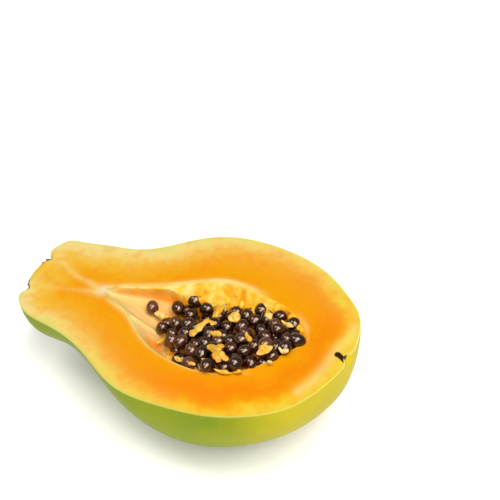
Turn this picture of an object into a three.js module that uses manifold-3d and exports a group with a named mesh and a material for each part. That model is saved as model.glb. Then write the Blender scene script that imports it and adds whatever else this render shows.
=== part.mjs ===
// A ripe papaya cut in half lengthwise, lying on its round skin with the cut face up and its seeds in it.
// The fruit is drawn in its own frame, in millimetres: +X runs from the stem end to the blossom end, +Y
// and -Y are its two sides, called far and near, and the cut face is the plane z = 0. At the end the whole
// fruit is tipped to the way it rests, and set down with its lowest point at z = 0 and its box centred on
// the Z axis.
import * as THREE from "three";
import { mergeVertices } from "three/addons/utils/BufferGeometryUtils.js";
import Module from "manifold-3d";

// ---- Driving dimensions, mm ----
const LENGTH = 160;
// Twelve stations along the fruit, closer together at both ends: [far half width, near half width, depth,
// section power]. A power of 2 makes an elliptic section, less a pointed one and more a square one.
const STATIONS = [
  [10.5, 8.5, 10, 2.1],
  [23.5, 20, 23, 2.1],
  [26, 26, 28, 2.1],
  [28, 29.5, 32, 1.7],
  [32.5, 37.5, 39, 1.65],
  [47.5, 50, 51, 1.9],
  [53, 53, 56.5, 2.25],
  [50.5, 51.5, 52, 2.25],
  [43, 45, 43, 2.2],
  [31.5, 33.5, 32, 2.2],
  [19.5, 15.5, 20.5, 2.1],
  [0, 0, 0, 2.1],
];
const WIDEST = 6; // the station with the largest section
const RESTING_TIP = THREE.MathUtils.degToRad(5.8); // blossom end up
const FOOT_RISE = 0.8; // height of the cap that the flat spot underneath takes off

const STEM_BUTTON = { rise: 1.2, radius: 6 };
const STEM_GROOVE = { sink: 2.4, radius: 10.5, width: 2.2 };
const STEM_SHOULDER = { rise: 1.0, radius: 16.5, width: 4 };
const BLOSSOM_PIT = { sink: 2.6, radius: 3.2, y: -2.3 };

// The seed cavity, from its narrow tip near the neck to its round end. Nine stations, closer together at
// both ends: [far edge, near edge, depth], with the edges measured from the fruit's middle line.
const CAVITY_START = 38;
const CAVITY_END = 139;
const CAVITY = [
  [0, 0, 0],
  [3.5, 3.5, 3.5],
  [7.5, 8.5, 6.5],
  [14, 22, 13],
  [22.5, 29.3, 32],
  [21, 29, 35],
  [16, 18.5, 28],
  [7.5, 4.5, 16],
  [2, -2, 0],
];
// At the tip the floor slopes gently from the near edge to a bottom close under the far edge; the belly is
// even.
const TIP_SECTION = { bottom: 0.76, nearPower: 1.8, farPower: 3.4 };
const BELLY_SECTION = { bottom: 0.5, nearPower: 2.6, farPower: 2.6 };
const SECTION_CHANGE = { from: 52, to: 92 }; // along x

// The seed heap fills the cavity from its own start on. Levels are those of the seeds' resting surface, at
// six even steps along the heap, beside the near and the far wall.
const SEED_DIAMETER = 6.2;
const SEED_STRETCH = 0.12; // the most that a seed is longer than wide
const SEED_FLATNESS = 0.94;
const SEED_LEAN = 0.3; // radians, to either side
const LONE_SEED = [61.5, 1];
const SEEDS_FROM = 65; // where the seeds after the lone one start
const HEAP_START = 59;
const HEAP_END = 140;
const NEAR_LEVELS = [-13, -9.5, -1, 1.2, 0.8, -1];
const FAR_LEVELS = [-8, -8.5, -10.5, -8, -4, -3];
const HEAP_CROWN = 1.5;
const CORE_SUNK = 3.2; // how far the solid core lies under the resting surface
const CLEARANCE = 0.35; // between the heap and the flesh
// Seeds are dropped one by one, each where it comes to lie lowest of a few tries.
const DROPS = 700;
const TRIES = 9;
const SEED_APART = 5.6; // between the centres of two seeds that touch; their jelly gives a little
const SEED_FOOTING = 0.85; // share of a seed's radius out to which the cavity's floor can carry it
const BED_DEPTH = 8.5; // how far under the heap's surface the lowest seeds lie
const HIGHEST_SEED = 1.6; // how far above that surface a seed's centre may come to lie
// No seed lies this far in from an edge; it narrows to nothing between two places along x.
const BARE_NEAR_WALL = { width: 11, from: 68, to: 100 };
const BARE_FAR_WALL = { width: 14, from: 67, to: 71 };
// Scraps of pulp that lie on the seeds: place, size and turn. Each lies PULP_UP above the heap's surface.
const PULP = [
  { x: 66.5, y: -1, length: 10.5, width: 4.2, turn: -0.5 },
  { x: 91.5, y: -6.5, length: 12, width: 3.4, turn: 1.0 },
  { x: 91.8, y: 7.5, length: 9.5, width: 3.8, turn: 1.5 },
  { x: 102.7, y: 3.6, length: 7, width: 5.6, turn: 0.6 },
  { x: 105.8, y: -20.8, length: 13.5, width: 4, turn: -0.42 },
  { x: 107, y: -21, length: 11, width: 4.4, turn: -1.3 },
  { x: 124.6, y: -13.2, length: 7.5, width: 4.6, turn: 1.0 },
  { x: 127.8, y: 6, length: 6, width: 3.2, turn: -0.2 },
];
const PULP_THICKNESS = 3.6;
const PULP_UP = 2.6;

// ---- Fineness ----
const SKIN_ROWS = 46;
const SKIN_STEPS = 26;
const STEM_CAP_RINGS = [0, 0.35, 0.62, 0.84];
const END_CROWDING = 0.06; // how much closer the rows lie at both ends
const CAVITY_ROWS = 26;
const CAVITY_STEPS = 14;
const HEAP_CELLS = { x: 10, y: 5 };
const SEED_SIDES = [7, 4];
const SEED_SWELL = 1.12; // makes up for what the flat sides take off a round seed
const PULP_SIDES = [8, 6];
const LAYING_DRAWS = 7; // where the seeded draws for laying and for shaping the seeds start
const SHAPING_DRAWS = 11;
const ABOVE_CUT = 1; // how far a cutter or the room for the seeds reaches over the cut face
const SEED_ROOM = 10;
const LEAST_WIDTH = 1;
const MERGE_DISTANCE = 1e-4;

const wasm = await Module();
wasm.setup();

// ---- Small helpers ----

// A natural cubic curve through evenly spaced values, as a function of t from 0 to 1.
function smoothCurve(values) {
  const last = values.length - 1;
  const bend = new Array(last + 1).fill(0);
  const carry = new Array(last + 1).fill(0);
  for (let i = 1; i < last; i++) {
    const pivot = 4 - carry[i - 1];
    const difference = values[i + 1] - 2 * values[i] + values[i - 1];
    carry[i] = 1 / pivot;
    bend[i] = (6 * difference - bend[i - 1]) / pivot;
  }
  for (let i = last - 1; i > 0; i--) bend[i] -= carry[i] * bend[i + 1];
  return (t) => {
    const at = THREE.MathUtils.clamp(t, 0, 1) * last;
    const i = Math.min(Math.floor(at), last - 1);
    const b = at - i;
    const a = 1 - b;
    const straight = a * values[i] + b * values[i + 1];
    return straight + ((a ** 3 - a) * bend[i] + (b ** 3 - b) * bend[i + 1]) / 6;
  };
}

const column = (table, k) => smoothCurve(table.map((row) => row[k]));
const bump = (distance, width) => Math.exp(-((distance / width) ** 2));

// Draws between 0 and 1 that are the same on every run.
function seededDraws(state) {
  return () => {
    state = (state * 1664525 + 1013904223) % 4294967296;
    return state / 4294967296;
  };
}

// A manifold-3d solid from any closed three.js geometry.
function toSolid(geometry) {
  const bare = new THREE.BufferGeometry();
  bare.setAttribute("position", geometry.getAttribute("position"));
  bare.setIndex(geometry.index);
  const merged = mergeVertices(bare, MERGE_DISTANCE);
  const corners = merged.index.array;
  const kept = [];
  for (let i = 0; i < corners.length; i += 3) {
    const [a, b, c] = corners.slice(i, i + 3);
    if (a !== b && b !== c && c !== a) kept.push(a, b, c);
  }
  const vertProperties = merged.getAttribute("position").array;
  const triVerts = new Uint32Array(kept);
  return new wasm.Manifold(new wasm.Mesh({ numProp: 3, vertProperties, triVerts }));
}

// The three.js mesh of a solid's largest body; cutting can leave loose slivers beside it.
function toMesh(solid, name, material) {
  const bodies = solid.decompose().sort((a, b) => b.volume() - a.volume());
  const { vertProperties, triVerts } = bodies[0].getMesh();
  const geometry = new THREE.BufferGeometry();
  geometry.setAttribute("position", new THREE.BufferAttribute(vertProperties, 3));
  geometry.setIndex(new THREE.BufferAttribute(triVerts, 1));
  geometry.computeVertexNormals();
  const mesh = new THREE.Mesh(geometry, material);
  mesh.name = name;
  return mesh;
}

// A closed surface from rows of points, each row a ring that closes on itself. The first and last rows are
// closed by a fan from their first point. Seen along the rows, the rings turn against the clock.
function ringsGeometry(rings) {
  const size = rings[0].length;
  const positions = rings.flat(2);
  const index = [];
  for (let i = 0; i + 1 < rings.length; i++) {
    for (let j = 0; j < size; j++) {
      const a = i * size + j;
      const b = i * size + ((j + 1) % size);
      index.push(a, b, b + size, a, b + size, a + size);
    }
  }
  const lastRow = (rings.length - 1) * size;
  for (let j = 1; j + 1 < size; j++) {
    index.push(0, j + 1, j);
    index.push(lastRow, lastRow + j, lastRow + j + 1);
  }
  const geometry = new THREE.BufferGeometry();
  geometry.setAttribute("position", new THREE.Float32BufferAttribute(positions, 3));
  geometry.setIndex(index);
  return geometry;
}

// ---- The fruit's outside ----
const farWidth = column(STATIONS, 0);
const nearWidth = column(STATIONS, 1);
const skinDepth = column(STATIONS, 2);
const sectionPower = column(STATIONS, 3);

// How far the stem end's surface moves along x at a distance from the fruit's middle line.
function stemRelief(radius) {
  const button = -STEM_BUTTON.rise * bump(radius, STEM_BUTTON.radius);
  const groove = STEM_GROOVE.sink * bump(radius - STEM_GROOVE.radius, STEM_GROOVE.width);
  const shoulder = -STEM_SHOULDER.rise * bump(radius - STEM_SHOULDER.radius, STEM_SHOULDER.width);
  return button + groove + shoulder;
}

// How far the blossom end's surface moves along x round its scar.
function pitRelief(y, z) {
  return -BLOSSOM_PIT.sink * bump(Math.hypot(y - BLOSSOM_PIT.y, z), BLOSSOM_PIT.radius);
}

// One ring of the outside at u along the fruit: round the skin from the near edge to the far edge, and
// straight back across the cut face. share shrinks the ring, for the flat of the stem end.
function skinRing(u, share) {
  const x = (LENGTH * (1 - Math.cos(Math.PI * u))) / 2;
  const power = sectionPower(u);
  const ring = [];
  for (let j = 0; j <= SKIN_STEPS; j++) {
    const angle = (Math.PI * j) / SKIN_STEPS;
    const across = Math.cos(angle);
    const down = Math.abs(Math.sin(angle));
    const reach = (Math.abs(across) ** power + down ** power) ** (-1 / power);
    const width = across > 0 ? nearWidth(u) : farWidth(u);
    const y = -share * width * reach * across;
    const z = -share * skinDepth(u) * reach * down;
    const middle = j === 0 || j === SKIN_STEPS ? 0 : z;
    const relief = u < 0.5 ? stemRelief(Math.hypot(y, middle)) : pitRelief(y, middle);
    ring.push([x + relief, y, middle]);
  }
  return ring;
}

function skinRings() {
  const cap = STEM_CAP_RINGS.map((share) => skinRing(0, share));
  const rows = [];
  for (let i = 0; i <= SKIN_ROWS; i++) {
    const even = i / SKIN_ROWS;
    rows.push(skinRing(even - END_CROWDING * Math.sin(2 * Math.PI * even), 1));
  }
  return [...cap, ...rows];
}

// ---- The seed cavity ----
const farEdge = column(CAVITY, 0);
const nearEdge = column(CAVITY, 1);
const cavityDepth = column(CAVITY, 2);

const alongCavity = (x) => {
  const even = THREE.MathUtils.clamp((x - CAVITY_START) / (CAVITY_END - CAVITY_START), 0, 1);
  return Math.acos(1 - 2 * even) / Math.PI;
};

// The cavity's two edges and its floor at x, all drawn in from the flesh by inset.
function cavitySection(x, inset) {
  const t = alongCavity(x);
  const change = THREE.MathUtils.smoothstep(x, SECTION_CHANGE.from, SECTION_CHANGE.to);
  const mix = (key) => THREE.MathUtils.lerp(TIP_SECTION[key], BELLY_SECTION[key], change);
  const near = inset - nearEdge(t);
  const far = Math.max(farEdge(t) - inset, near);
  const bottom = THREE.MathUtils.lerp(near, far, mix("bottom"));
  const depth = Math.max(cavityDepth(t) - 2 * inset, 0);
  const floor = (y) => {
    const towardsNear = y < bottom;
    const edge = towardsNear ? near : far;
    if (edge === bottom) return 0;
    const out = THREE.MathUtils.clamp((y - bottom) / (edge - bottom), 0, 1);
    return -depth * (1 - out ** mix(towardsNear ? "nearPower" : "farPower"));
  };
  return { near, far, floor };
}

// The cavity as a solid up to lid above the cut face.
function cavitySolid(inset, lid) {
  const rings = [];
  for (let i = 0; i <= CAVITY_ROWS; i++) {
    const even = (1 - Math.cos((Math.PI * i) / CAVITY_ROWS)) / 2;
    const x = CAVITY_START + (CAVITY_END - CAVITY_START) * even + inset * (1 - 2 * even);
    const { near, far, floor } = cavitySection(x, inset);
    const ring = [];
    for (let j = 0; j <= CAVITY_STEPS; j++) {
      const share = (1 - Math.cos((Math.PI * j) / CAVITY_STEPS)) / 2;
      const y = THREE.MathUtils.lerp(near, far, share);
      const onEdge = j === 0 || j === CAVITY_STEPS;
      ring.push([x, y, onEdge ? 0 : floor(y)]);
    }
    ring.push([x, far, lid], [x, near, lid]);
    rings.push(ring);
  }
  return toSolid(ringsGeometry(rings));
}

// ---- The seed heap ----
const nearLevel = smoothCurve(NEAR_LEVELS);
const farLevel = smoothCurve(FAR_LEVELS);

// Height of the surface that the top seeds rest in.
function heapLevel(x, y) {
  const { near, far } = cavitySection(x, 0);
  const t = (x - HEAP_START) / (HEAP_END - HEAP_START);
  const across = THREE.MathUtils.clamp((y - near) / Math.max(far - near, LEAST_WIDTH), 0, 1);
  const crown = HEAP_CROWN * Math.sin(Math.PI * across);
  return THREE.MathUtils.lerp(nearLevel(t), farLevel(t), across) + crown;
}

// All that lies under the core's surface, as one block over the cavity.
function underHeapSolid() {
  const [halfSpan, , depth] = STATIONS[WIDEST];
  const bottom = -depth;
  const coreLevel = (x, y) => heapLevel(x, y) - CORE_SUNK;
  const rings = [];
  for (let i = 0; i <= HEAP_CELLS.x; i++) {
    const x = THREE.MathUtils.lerp(HEAP_START, CAVITY_END, i / HEAP_CELLS.x);
    const { near, far } = cavitySection(x, 0);
    const ring = [[x, -halfSpan, bottom], [x, halfSpan, bottom]];
    ring.push([x, halfSpan, coreLevel(x, far)]);
    for (let j = HEAP_CELLS.y; j >= 0; j--) {
      const y = THREE.MathUtils.lerp(near, far, j / HEAP_CELLS.y);
      ring.push([x, y, coreLevel(x, y)]);
    }
    ring.push([x, -halfSpan, coreLevel(x, near)]);
    rings.push(ring);
  }
  return toSolid(ringsGeometry(rings));
}

// How far in from an edge the wall is bare of seeds at x.
function bareWidth({ width, from, to }, x) {
  return width * (1 - THREE.MathUtils.smoothstep(x, from, to));
}

// Centres of the seeds, the lone one first.
function seedPlaces() {
  const draw = seededDraws(LAYING_DRAWS);
  const radius = SEED_DIAMETER / 2;
  const halfSpan = STATIONS[WIDEST][1];
  const places = [];
  const lay = (x, y, lowest) => {
    const { floor } = cavitySection(x, CLEARANCE);
    const beside = SEED_FOOTING * radius;
    let z = Math.max(lowest, floor(y), floor(y - beside) - radius, floor(y + beside) - radius) + radius;
    for (const seed of places) {
      const gap = SEED_APART ** 2 - (seed[0] - x) ** 2 - (seed[1] - y) ** 2;
      if (gap > 0) z = Math.max(z, seed[2] + Math.sqrt(gap));
    }
    return z;
  };
  const drop = () => {
    const x = THREE.MathUtils.lerp(SEEDS_FROM, HEAP_END, draw());
    const y = halfSpan * (2 * draw() - 1);
    const { near, far } = cavitySection(x, CLEARANCE);
    const gapNear = y - near - bareWidth(BARE_NEAR_WALL, x);
    const gapFar = far - y - bareWidth(BARE_FAR_WALL, x);
    if (Math.min(gapNear, gapFar) < radius / 2) return null;
    const level = heapLevel(x, y);
    const z = lay(x, y, level - BED_DEPTH);
    return { place: [x, y, z], rise: z - level };
  };
  places.push([...LONE_SEED, lay(...LONE_SEED, -Infinity)]);
  for (let i = 0; i < DROPS; i++) {
    const tries = Array.from({ length: TRIES }, drop).filter((seed) => seed && seed.rise < HIGHEST_SEED);
    if (tries.length === 0) continue;
    const lowest = tries.reduce((best, seed) => (seed.rise < best.rise ? seed : best));
    places.push(lowest.place);
  }
  return places;
}

function seedSolid([x, y, z], draw) {
  const ball = new THREE.SphereGeometry((SEED_SWELL * SEED_DIAMETER) / 2, ...SEED_SIDES);
  ball.scale(1 + SEED_STRETCH * draw(), 1, SEED_FLATNESS);
  ball.rotateZ(Math.PI * draw());
  ball.rotateX(SEED_LEAN * (2 * draw() - 1));
  ball.translate(x, y, z);
  return toSolid(ball);
}

function pulpSolid({ x, y, length, width, turn }) {
  const scrap = new THREE.SphereGeometry(0.5, ...PULP_SIDES);
  scrap.scale(length, width, PULP_THICKNESS);
  scrap.rotateZ(turn);
  scrap.translate(x, y, heapLevel(x, y) + PULP_UP);
  return toSolid(scrap);
}

// ---- The two pieces ----

// Flesh and skin: the half fruit less its cavity, with a flat spot where it rests.
function halfFruit() {
  const rings = skinRings();
  const heightWhenTipped = ([x, , z]) => x * Math.sin(RESTING_TIP) + z * Math.cos(RESTING_TIP);
  const lowest = Math.min(...rings.flat().map(heightWhenTipped));
  const ground = new THREE.BoxGeometry(2 * LENGTH, LENGTH, LENGTH);
  ground.translate(0, 0, lowest + FOOT_RISE - LENGTH / 2);
  ground.rotateY(RESTING_TIP);
  const solid = toSolid(ringsGeometry(rings)).subtract(cavitySolid(0, ABOVE_CUT)).subtract(toSolid(ground));
  const material = new THREE.MeshStandardMaterial({ color: 0xffa41c, roughness: 0.45, metalness: 0 });
  return toMesh(solid, "papaya_half", material);
}

// The heap's core with the seeds and scraps of pulp that show fused on, trimmed to the cavity it lies in.
function seedHeap() {
  const draw = seededDraws(SHAPING_DRAWS);
  const room = cavitySolid(CLEARANCE, SEED_ROOM);
  const core = room.intersect(underHeapSolid());
  const seeds = seedPlaces().map((place) => seedSolid(place, draw));
  const pulp = PULP.map(pulpSolid);
  const heap = [...seeds, ...pulp].reduce((sum, piece) => sum.add(piece), core).intersect(room);
  const material = new THREE.MeshStandardMaterial({ color: 0x2a1812, roughness: 0.3, metalness: 0 });
  return toMesh(heap, "seed_heap", material);
}

const fruit = new THREE.Group();
fruit.add(halfFruit(), seedHeap());
fruit.rotation.y = -RESTING_TIP;

const papaya = new THREE.Group();
papaya.add(fruit);
const box = new THREE.Box3().setFromObject(papaya, true);
fruit.position.set(-(box.min.x + box.max.x) / 2, -(box.min.y + box.max.y) / 2, -box.min.z);

export default papaya;
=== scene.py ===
"""A ripe papaya cut in half lengthwise, lying on its round skin with its seeds still in it.

Forms are drawn in the fruit's own frame, in millimetres: +X runs from the stem end to the blossom end, +Y
and -Y are its far and near sides, and the cut face is the plane z = 0. ``seated`` tips the fruit to the way
it rests on the table and gives metres.
"""

import logging
import math
from dataclasses import dataclass, field
from enum import Enum
from functools import lru_cache
from typing import Callable, Sequence

import bpy
import numpy as np
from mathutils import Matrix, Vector


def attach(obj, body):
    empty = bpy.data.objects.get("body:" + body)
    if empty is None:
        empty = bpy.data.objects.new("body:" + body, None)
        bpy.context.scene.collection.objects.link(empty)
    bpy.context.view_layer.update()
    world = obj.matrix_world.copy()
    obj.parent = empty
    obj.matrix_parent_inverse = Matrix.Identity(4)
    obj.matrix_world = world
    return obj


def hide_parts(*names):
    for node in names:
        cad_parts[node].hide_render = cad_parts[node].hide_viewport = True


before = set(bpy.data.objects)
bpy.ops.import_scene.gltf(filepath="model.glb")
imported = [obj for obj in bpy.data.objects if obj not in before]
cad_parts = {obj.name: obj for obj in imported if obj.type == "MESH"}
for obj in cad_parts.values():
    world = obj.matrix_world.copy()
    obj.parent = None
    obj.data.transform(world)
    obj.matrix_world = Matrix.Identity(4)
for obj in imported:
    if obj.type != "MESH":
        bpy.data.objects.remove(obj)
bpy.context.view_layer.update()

log = logging.getLogger("papaya")

MM = 0.001
HALF_NODE = "papaya_half"
HEAP_NODE = "seed_heap"
RESTING_TIP = math.radians(5.8)  # blossom end up
STEM_END_AT = (-79.184, 0.0, 46.397)  # where the middle of the stem end lies once the fruit is set down, mm
SKIN_THICKNESS = 0.5
LAST_ROW = 0.9985  # u of the last row of skin or flesh, just short of the point at the blossom end
TINY = 1e-9

Array = np.ndarray
Material = bpy.types.Material
Node = bpy.types.Node
NodeTree = bpy.types.NodeTree
Piece = bpy.types.Object
Socket = bpy.types.NodeSocket

Range = tuple[float, float]
Span = tuple[float, float, float, float]  # a range, and the range that it is stretched to
Point = tuple[float, float, float]
Path = tuple[tuple[float, float], ...]
Colour = tuple[float, float, float]
Stops = tuple[tuple[float, Colour], ...]


class Slot(Enum):
    """The record's material slots."""

    FLESH = "flesh"
    SKIN = "skin"
    SEEDS = "seeds"
    PULP = "pulp"


# ---- Curves and small sums ----


@lru_cache(maxsize=None)
def smooth_curve(values: tuple[float, ...]) -> Callable[[Array], Array]:
    """A natural cubic curve through evenly spaced values.

    Args:
        values: The values, the first at t = 0 and the last at t = 1.

    Returns:
        A function that gives the curve's value for an array of t.
    """
    v = np.asarray(values, float)
    last = len(v) - 1
    system = np.diag(np.full(last + 1, 4.0)) + np.eye(last + 1, k=1) + np.eye(last + 1, k=-1)
    system[0, :2] = system[last, -2:] = 0, 0
    system[0, 0] = system[last, last] = 1
    difference = np.zeros(last + 1)
    difference[1:-1] = 6 * (v[2:] - 2 * v[1:-1] + v[:-2])
    bend = np.linalg.solve(system, difference)

    def curve(t: Array) -> Array:
        """The curve's value.

        Args:
            t: Shares of the curve.

        Returns:
            One value a share.
        """
        at = np.clip(t, 0, 1) * last
        i = np.minimum(np.floor(at).astype(int), last - 1)
        b = at - i
        a = 1 - b
        return a * v[i] + b * v[i + 1] + ((a**3 - a) * bend[i] + (b**3 - b) * bend[i + 1]) / 6

    return curve


def bump(distance: Array, width: float) -> Array:
    """A round bump of height 1 that fades out over width."""
    return np.exp(-((distance / width) ** 2))


def smooth_step(x: Array, start: float, end: float) -> Array:
    """0 on start's side, 1 on end's side, and a smooth change between the two; either may be the larger."""
    t = np.clip((x - start) / (end - start), 0, 1)
    return t * t * (3 - 2 * t)


def blend(first: Array, second: Array, share: Array) -> Array:
    """Between two values: the first at a share of 0, the second at 1."""
    return first + (second - first) * share


def crowded(count: int) -> Array:
    """Shares from 0 to 1 that lie closer together at both ends."""
    return (1 - np.cos(np.linspace(0, math.pi, count))) / 2


def distance_to_path(points: Array, path: Array) -> Array:
    """The distance from each point to a path of straight runs.

    Args:
        points: An array of points.
        path: The path's corners, with as many coordinates as the points have.

    Returns:
        One distance a point.
    """
    nearest = np.full(len(points), np.inf)
    for start, end in zip(path[:-1], path[1:]):
        run = end - start
        along = np.clip((points - start) @ run / max(run @ run, TINY), 0, 1)
        gap = np.linalg.norm(points - start - along[:, None] * run, axis=1)
        nearest = np.minimum(nearest, gap)
    return nearest


def ridge(flat: Array, path: Path, width: float | Array) -> Array:
    """A bump of height 1 along a path in the cut plane that fades out over width on both sides."""
    return bump(distance_to_path(flat, np.array(path)), width)


def seated(points: Array, ground: float = 0.0) -> Array:
    """Tips and sets down points of the fruit.

    Args:
        points: Points in the fruit's frame, mm.
        ground: The lowest height above the table that a point may have, mm.

    Returns:
        The points in the row frame, in metres.
    """
    c, s = math.cos(RESTING_TIP), math.sin(RESTING_TIP)
    x = STEM_END_AT[0] + points[:, 0] * c - points[:, 2] * s
    y = STEM_END_AT[1] + points[:, 1]
    z = STEM_END_AT[2] + points[:, 0] * s + points[:, 2] * c
    return np.stack([x, y, np.maximum(z, ground)], axis=1) * MM


class Ripples:
    """Smooth random relief of about unit height: a sum of waves that run every way."""

    WAVES = 28
    LENGTHS = (0.7, 1.5)  # of the shortest and the longest wave, as shares of the mean

    def __init__(self, seed: int, wavelength: float) -> None:
        """Draws the waves.

        Args:
            seed: The random seed.
            wavelength: The waves' mean length, mm.
        """
        draw = np.random.default_rng(seed)
        direction = draw.normal(size=(self.WAVES, 3))
        direction /= np.linalg.norm(direction, axis=1)[:, None]
        length = wavelength * draw.uniform(*self.LENGTHS, self.WAVES)
        self.wave = 2 * math.pi * direction / length[:, None]
        self.phase = draw.uniform(0, 2 * math.pi, self.WAVES)

    def at(self, points: Array) -> Array:
        """The relief at each point."""
        waves = np.sin(points @ self.wave.T + self.phase)
        return waves.sum(axis=1) * math.sqrt(2 / self.WAVES)


class SeededDraws:
    """Draws between 0 and 1 that are the same on every run, as the solid's own seeds were laid with."""

    MULTIPLIER = 1664525
    INCREMENT = 1013904223
    MODULUS = 2**32

    def __init__(self, state: int) -> None:
        """Starts the draws from a state."""
        self.state = state

    def draw(self) -> float:
        """The next draw."""
        self.state = (self.state * self.MULTIPLIER + self.INCREMENT) % self.MODULUS
        return self.state / self.MODULUS

    def either(self, most: float) -> float:
        """A draw between -most and most."""
        return most * (2 * self.draw() - 1)


# ---- Meshes ----


@dataclass
class Shape:
    """A closed mesh in the making, in the fruit's frame, with values painted on its points."""

    points: Array
    faces: list[Array]
    paint: dict[str, Array] = field(default_factory=dict)
    ground: Array | float = 0.0

    @classmethod
    def joined(cls, shapes: Sequence["Shape"]) -> "Shape":
        """Several shapes as one mesh.

        Args:
            shapes: The shapes, all with the same painted values.

        Returns:
            The one shape.
        """
        starts = np.cumsum([0] + [len(s.points) for s in shapes])
        faces = [f + start for s, start in zip(shapes, starts) for f in s.faces]
        paint = {key: np.concatenate([s.paint[key] for s in shapes]) for key in shapes[0].paint}
        return cls(np.concatenate([s.points for s in shapes]), faces, paint)

    def facing_out(self) -> list[Array]:
        """Turns all faces round if they enclose less than nothing.

        Returns:
            The faces.
        """
        enclosed = 0.0
        for rows in self.faces:
            corners = self.points[rows]
            for k in range(1, rows.shape[1] - 1):
                cross = np.cross(corners[:, k], corners[:, k + 1])
                enclosed += float((corners[:, 0] * cross).sum())
        return self.faces if enclosed > 0 else [rows[:, ::-1] for rows in self.faces]

    def piece(
        self,
        name: str,
        finish: Material,
        slot: Slot,
        node: str,
        crease: float | None = None,
    ) -> Piece:
        """Makes the Blender object, which rides on the body and stands for its CAD node.

        Args:
            name: The piece's name.
            finish: Its material.
            slot: The record's material slot; not used.
            node: The CAD node that it stands for.
            crease: The angle in degrees from which an edge is sharp; all edges are smooth without it.

        Returns:
            The object.
        """
        mesh = bpy.data.meshes.new(name)
        corners = [face for rows in self.facing_out() for face in rows.tolist()]
        mesh.from_pydata(seated(self.points, self.ground).tolist(), [], corners)
        mesh.validate()
        for key, values in self.paint.items():
            layer = mesh.attributes.new(key, "FLOAT", "POINT")
            layer.data.foreach_set("value", np.asarray(values, np.float32))
        mesh.shade_smooth()
        if crease is not None:
            mesh.set_sharp_from_angle(angle=math.radians(crease))
        mesh.materials.append(finish)
        piece = bpy.data.objects.new(name, mesh)
        bpy.context.scene.collection.objects.link(piece)
        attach(piece, "root")
        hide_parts(node)
        log.info("%s: %d points, %d faces", name, len(mesh.vertices), len(mesh.polygons))
        return piece


def tube_faces(rows: int, size: int) -> list[Array]:
    """Faces of a tube of closed rings, with both ends closed by a fan.

    Args:
        rows: The number of rings.
        size: The points in a ring.

    Returns:
        Arrays of corner indices, one for the wall and one for the ends.
    """
    i, j = np.meshgrid(np.arange(rows - 1), np.arange(size), indexing="ij")
    a = i * size + j
    b = i * size + (j + 1) % size
    wall = np.stack([a, b, b + size, a + size], axis=-1).reshape(-1, 4)
    spoke = np.arange(1, size - 1)
    hub = np.zeros_like(spoke)
    last = (rows - 1) * size
    start = np.stack([hub, spoke + 1, spoke], axis=1)
    end = np.stack([hub + last, last + spoke, last + spoke + 1], axis=1)
    return [wall, np.concatenate([start, end])]


def ball(rows: int, steps: int) -> tuple[Array, list[Array]]:
    """A sphere of radius 1 about the origin, its poles on the x axis.

    Args:
        rows: Rings between the poles.
        steps: Points in a ring.

    Returns:
        Its points and its faces.
    """
    polar = np.linspace(0, math.pi, rows + 2)[1:-1, None]
    turn = np.linspace(0, 2 * math.pi, steps, endpoint=False)[None, :]
    rings = [np.cos(polar) + 0 * turn, np.sin(polar) * np.cos(turn), np.sin(polar) * np.sin(turn)]
    rings = np.stack(rings, axis=-1).reshape(-1, 3)
    points = np.concatenate([rings, [[1, 0, 0], [-1, 0, 0]]])
    wall = tube_faces(rows, steps)[0]
    j = np.arange(steps)
    after = (j + 1) % steps
    last = (rows - 1) * steps
    first_pole = np.full(steps, len(rings))
    near_cap = np.stack([first_pole, after, j], axis=1)
    far_cap = np.stack([first_pole + 1, last + j, last + after], axis=1)
    return points, [wall, np.concatenate([near_cap, far_cap])]


def toned(points: Array, faces: list[Array], tone: float) -> Shape:
    """A shape that has one tone all over."""
    return Shape(points, faces, {"tone": np.full(len(points), tone)})


def ribbon(spine: Array, wide: Array, thick: Array, tone: float, sides: int = 10) -> Shape:
    """A closed band along a line, with an elliptic section.

    Args:
        spine: Points of the line.
        wide: Half the band's width at each point.
        thick: Half its thickness.
        tone: Its tone.
        sides: The points in its section.

    Returns:
        The band's shape.
    """
    ahead = np.gradient(spine, axis=0)
    ahead /= np.linalg.norm(ahead, axis=1)[:, None]
    sideways = np.cross(ahead, (0, 0, 1.0))
    sideways /= np.linalg.norm(sideways, axis=1)[:, None]
    upwards = np.cross(sideways, ahead)
    turn = np.linspace(0, 2 * math.pi, sides, endpoint=False)
    across = (wide[:, None] * np.cos(turn))[..., None] * sideways[:, None]
    through = (thick[:, None] * np.sin(turn))[..., None] * upwards[:, None]
    points = (spine[:, None] + across + through).reshape(-1, 3)
    return toned(points, tube_faces(len(spine), sides), tone)


def turned(points: Array, roll: float, pitch: float, yaw: float) -> Array:
    """Turns points about the origin.

    Args:
        points: The points.
        roll: The angle about x, which comes first, in radians.
        pitch: The angle about y.
        yaw: The angle about z.

    Returns:
        The turned points.
    """
    for angle, (a, b) in ((roll, (1, 2)), (pitch, (2, 0)), (yaw, (0, 1))):
        c, s = math.cos(angle), math.sin(angle)
        p, q = points[:, a].copy(), points[:, b].copy()
        points = points.copy()
        points[:, a] = c * p - s * q
        points[:, b] = s * p + c * q
    return points


# ---- The fruit's form ----


@dataclass(frozen=True)
class Fade:
    """A value that goes smoothly from low at start to high at end."""

    start: float
    end: float
    low: float = 0.0
    high: float = 1.0

    def at(self, x: Array) -> Array:
        """The value at x."""
        return self.low + (self.high - self.low) * smooth_step(x, self.start, self.end)


@dataclass(frozen=True)
class Patch:
    """A soft oval patch in the cut plane: its middle, its radius, how it is stretched, and its strength."""

    x: float
    y: float
    radius: float
    long: float = 1.0
    wide: float = 1.0
    strength: float = 1.0

    def distance(self, x: Array, y: Array) -> Array:
        """How far points are from its middle, with its stretch taken out."""
        return np.hypot((x - self.x) / self.long, (y - self.y) / self.wide)

    def at(self, x: Array, y: Array) -> Array:
        """Its strength at points."""
        return self.strength * bump(self.distance(x, y), self.radius)


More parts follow.
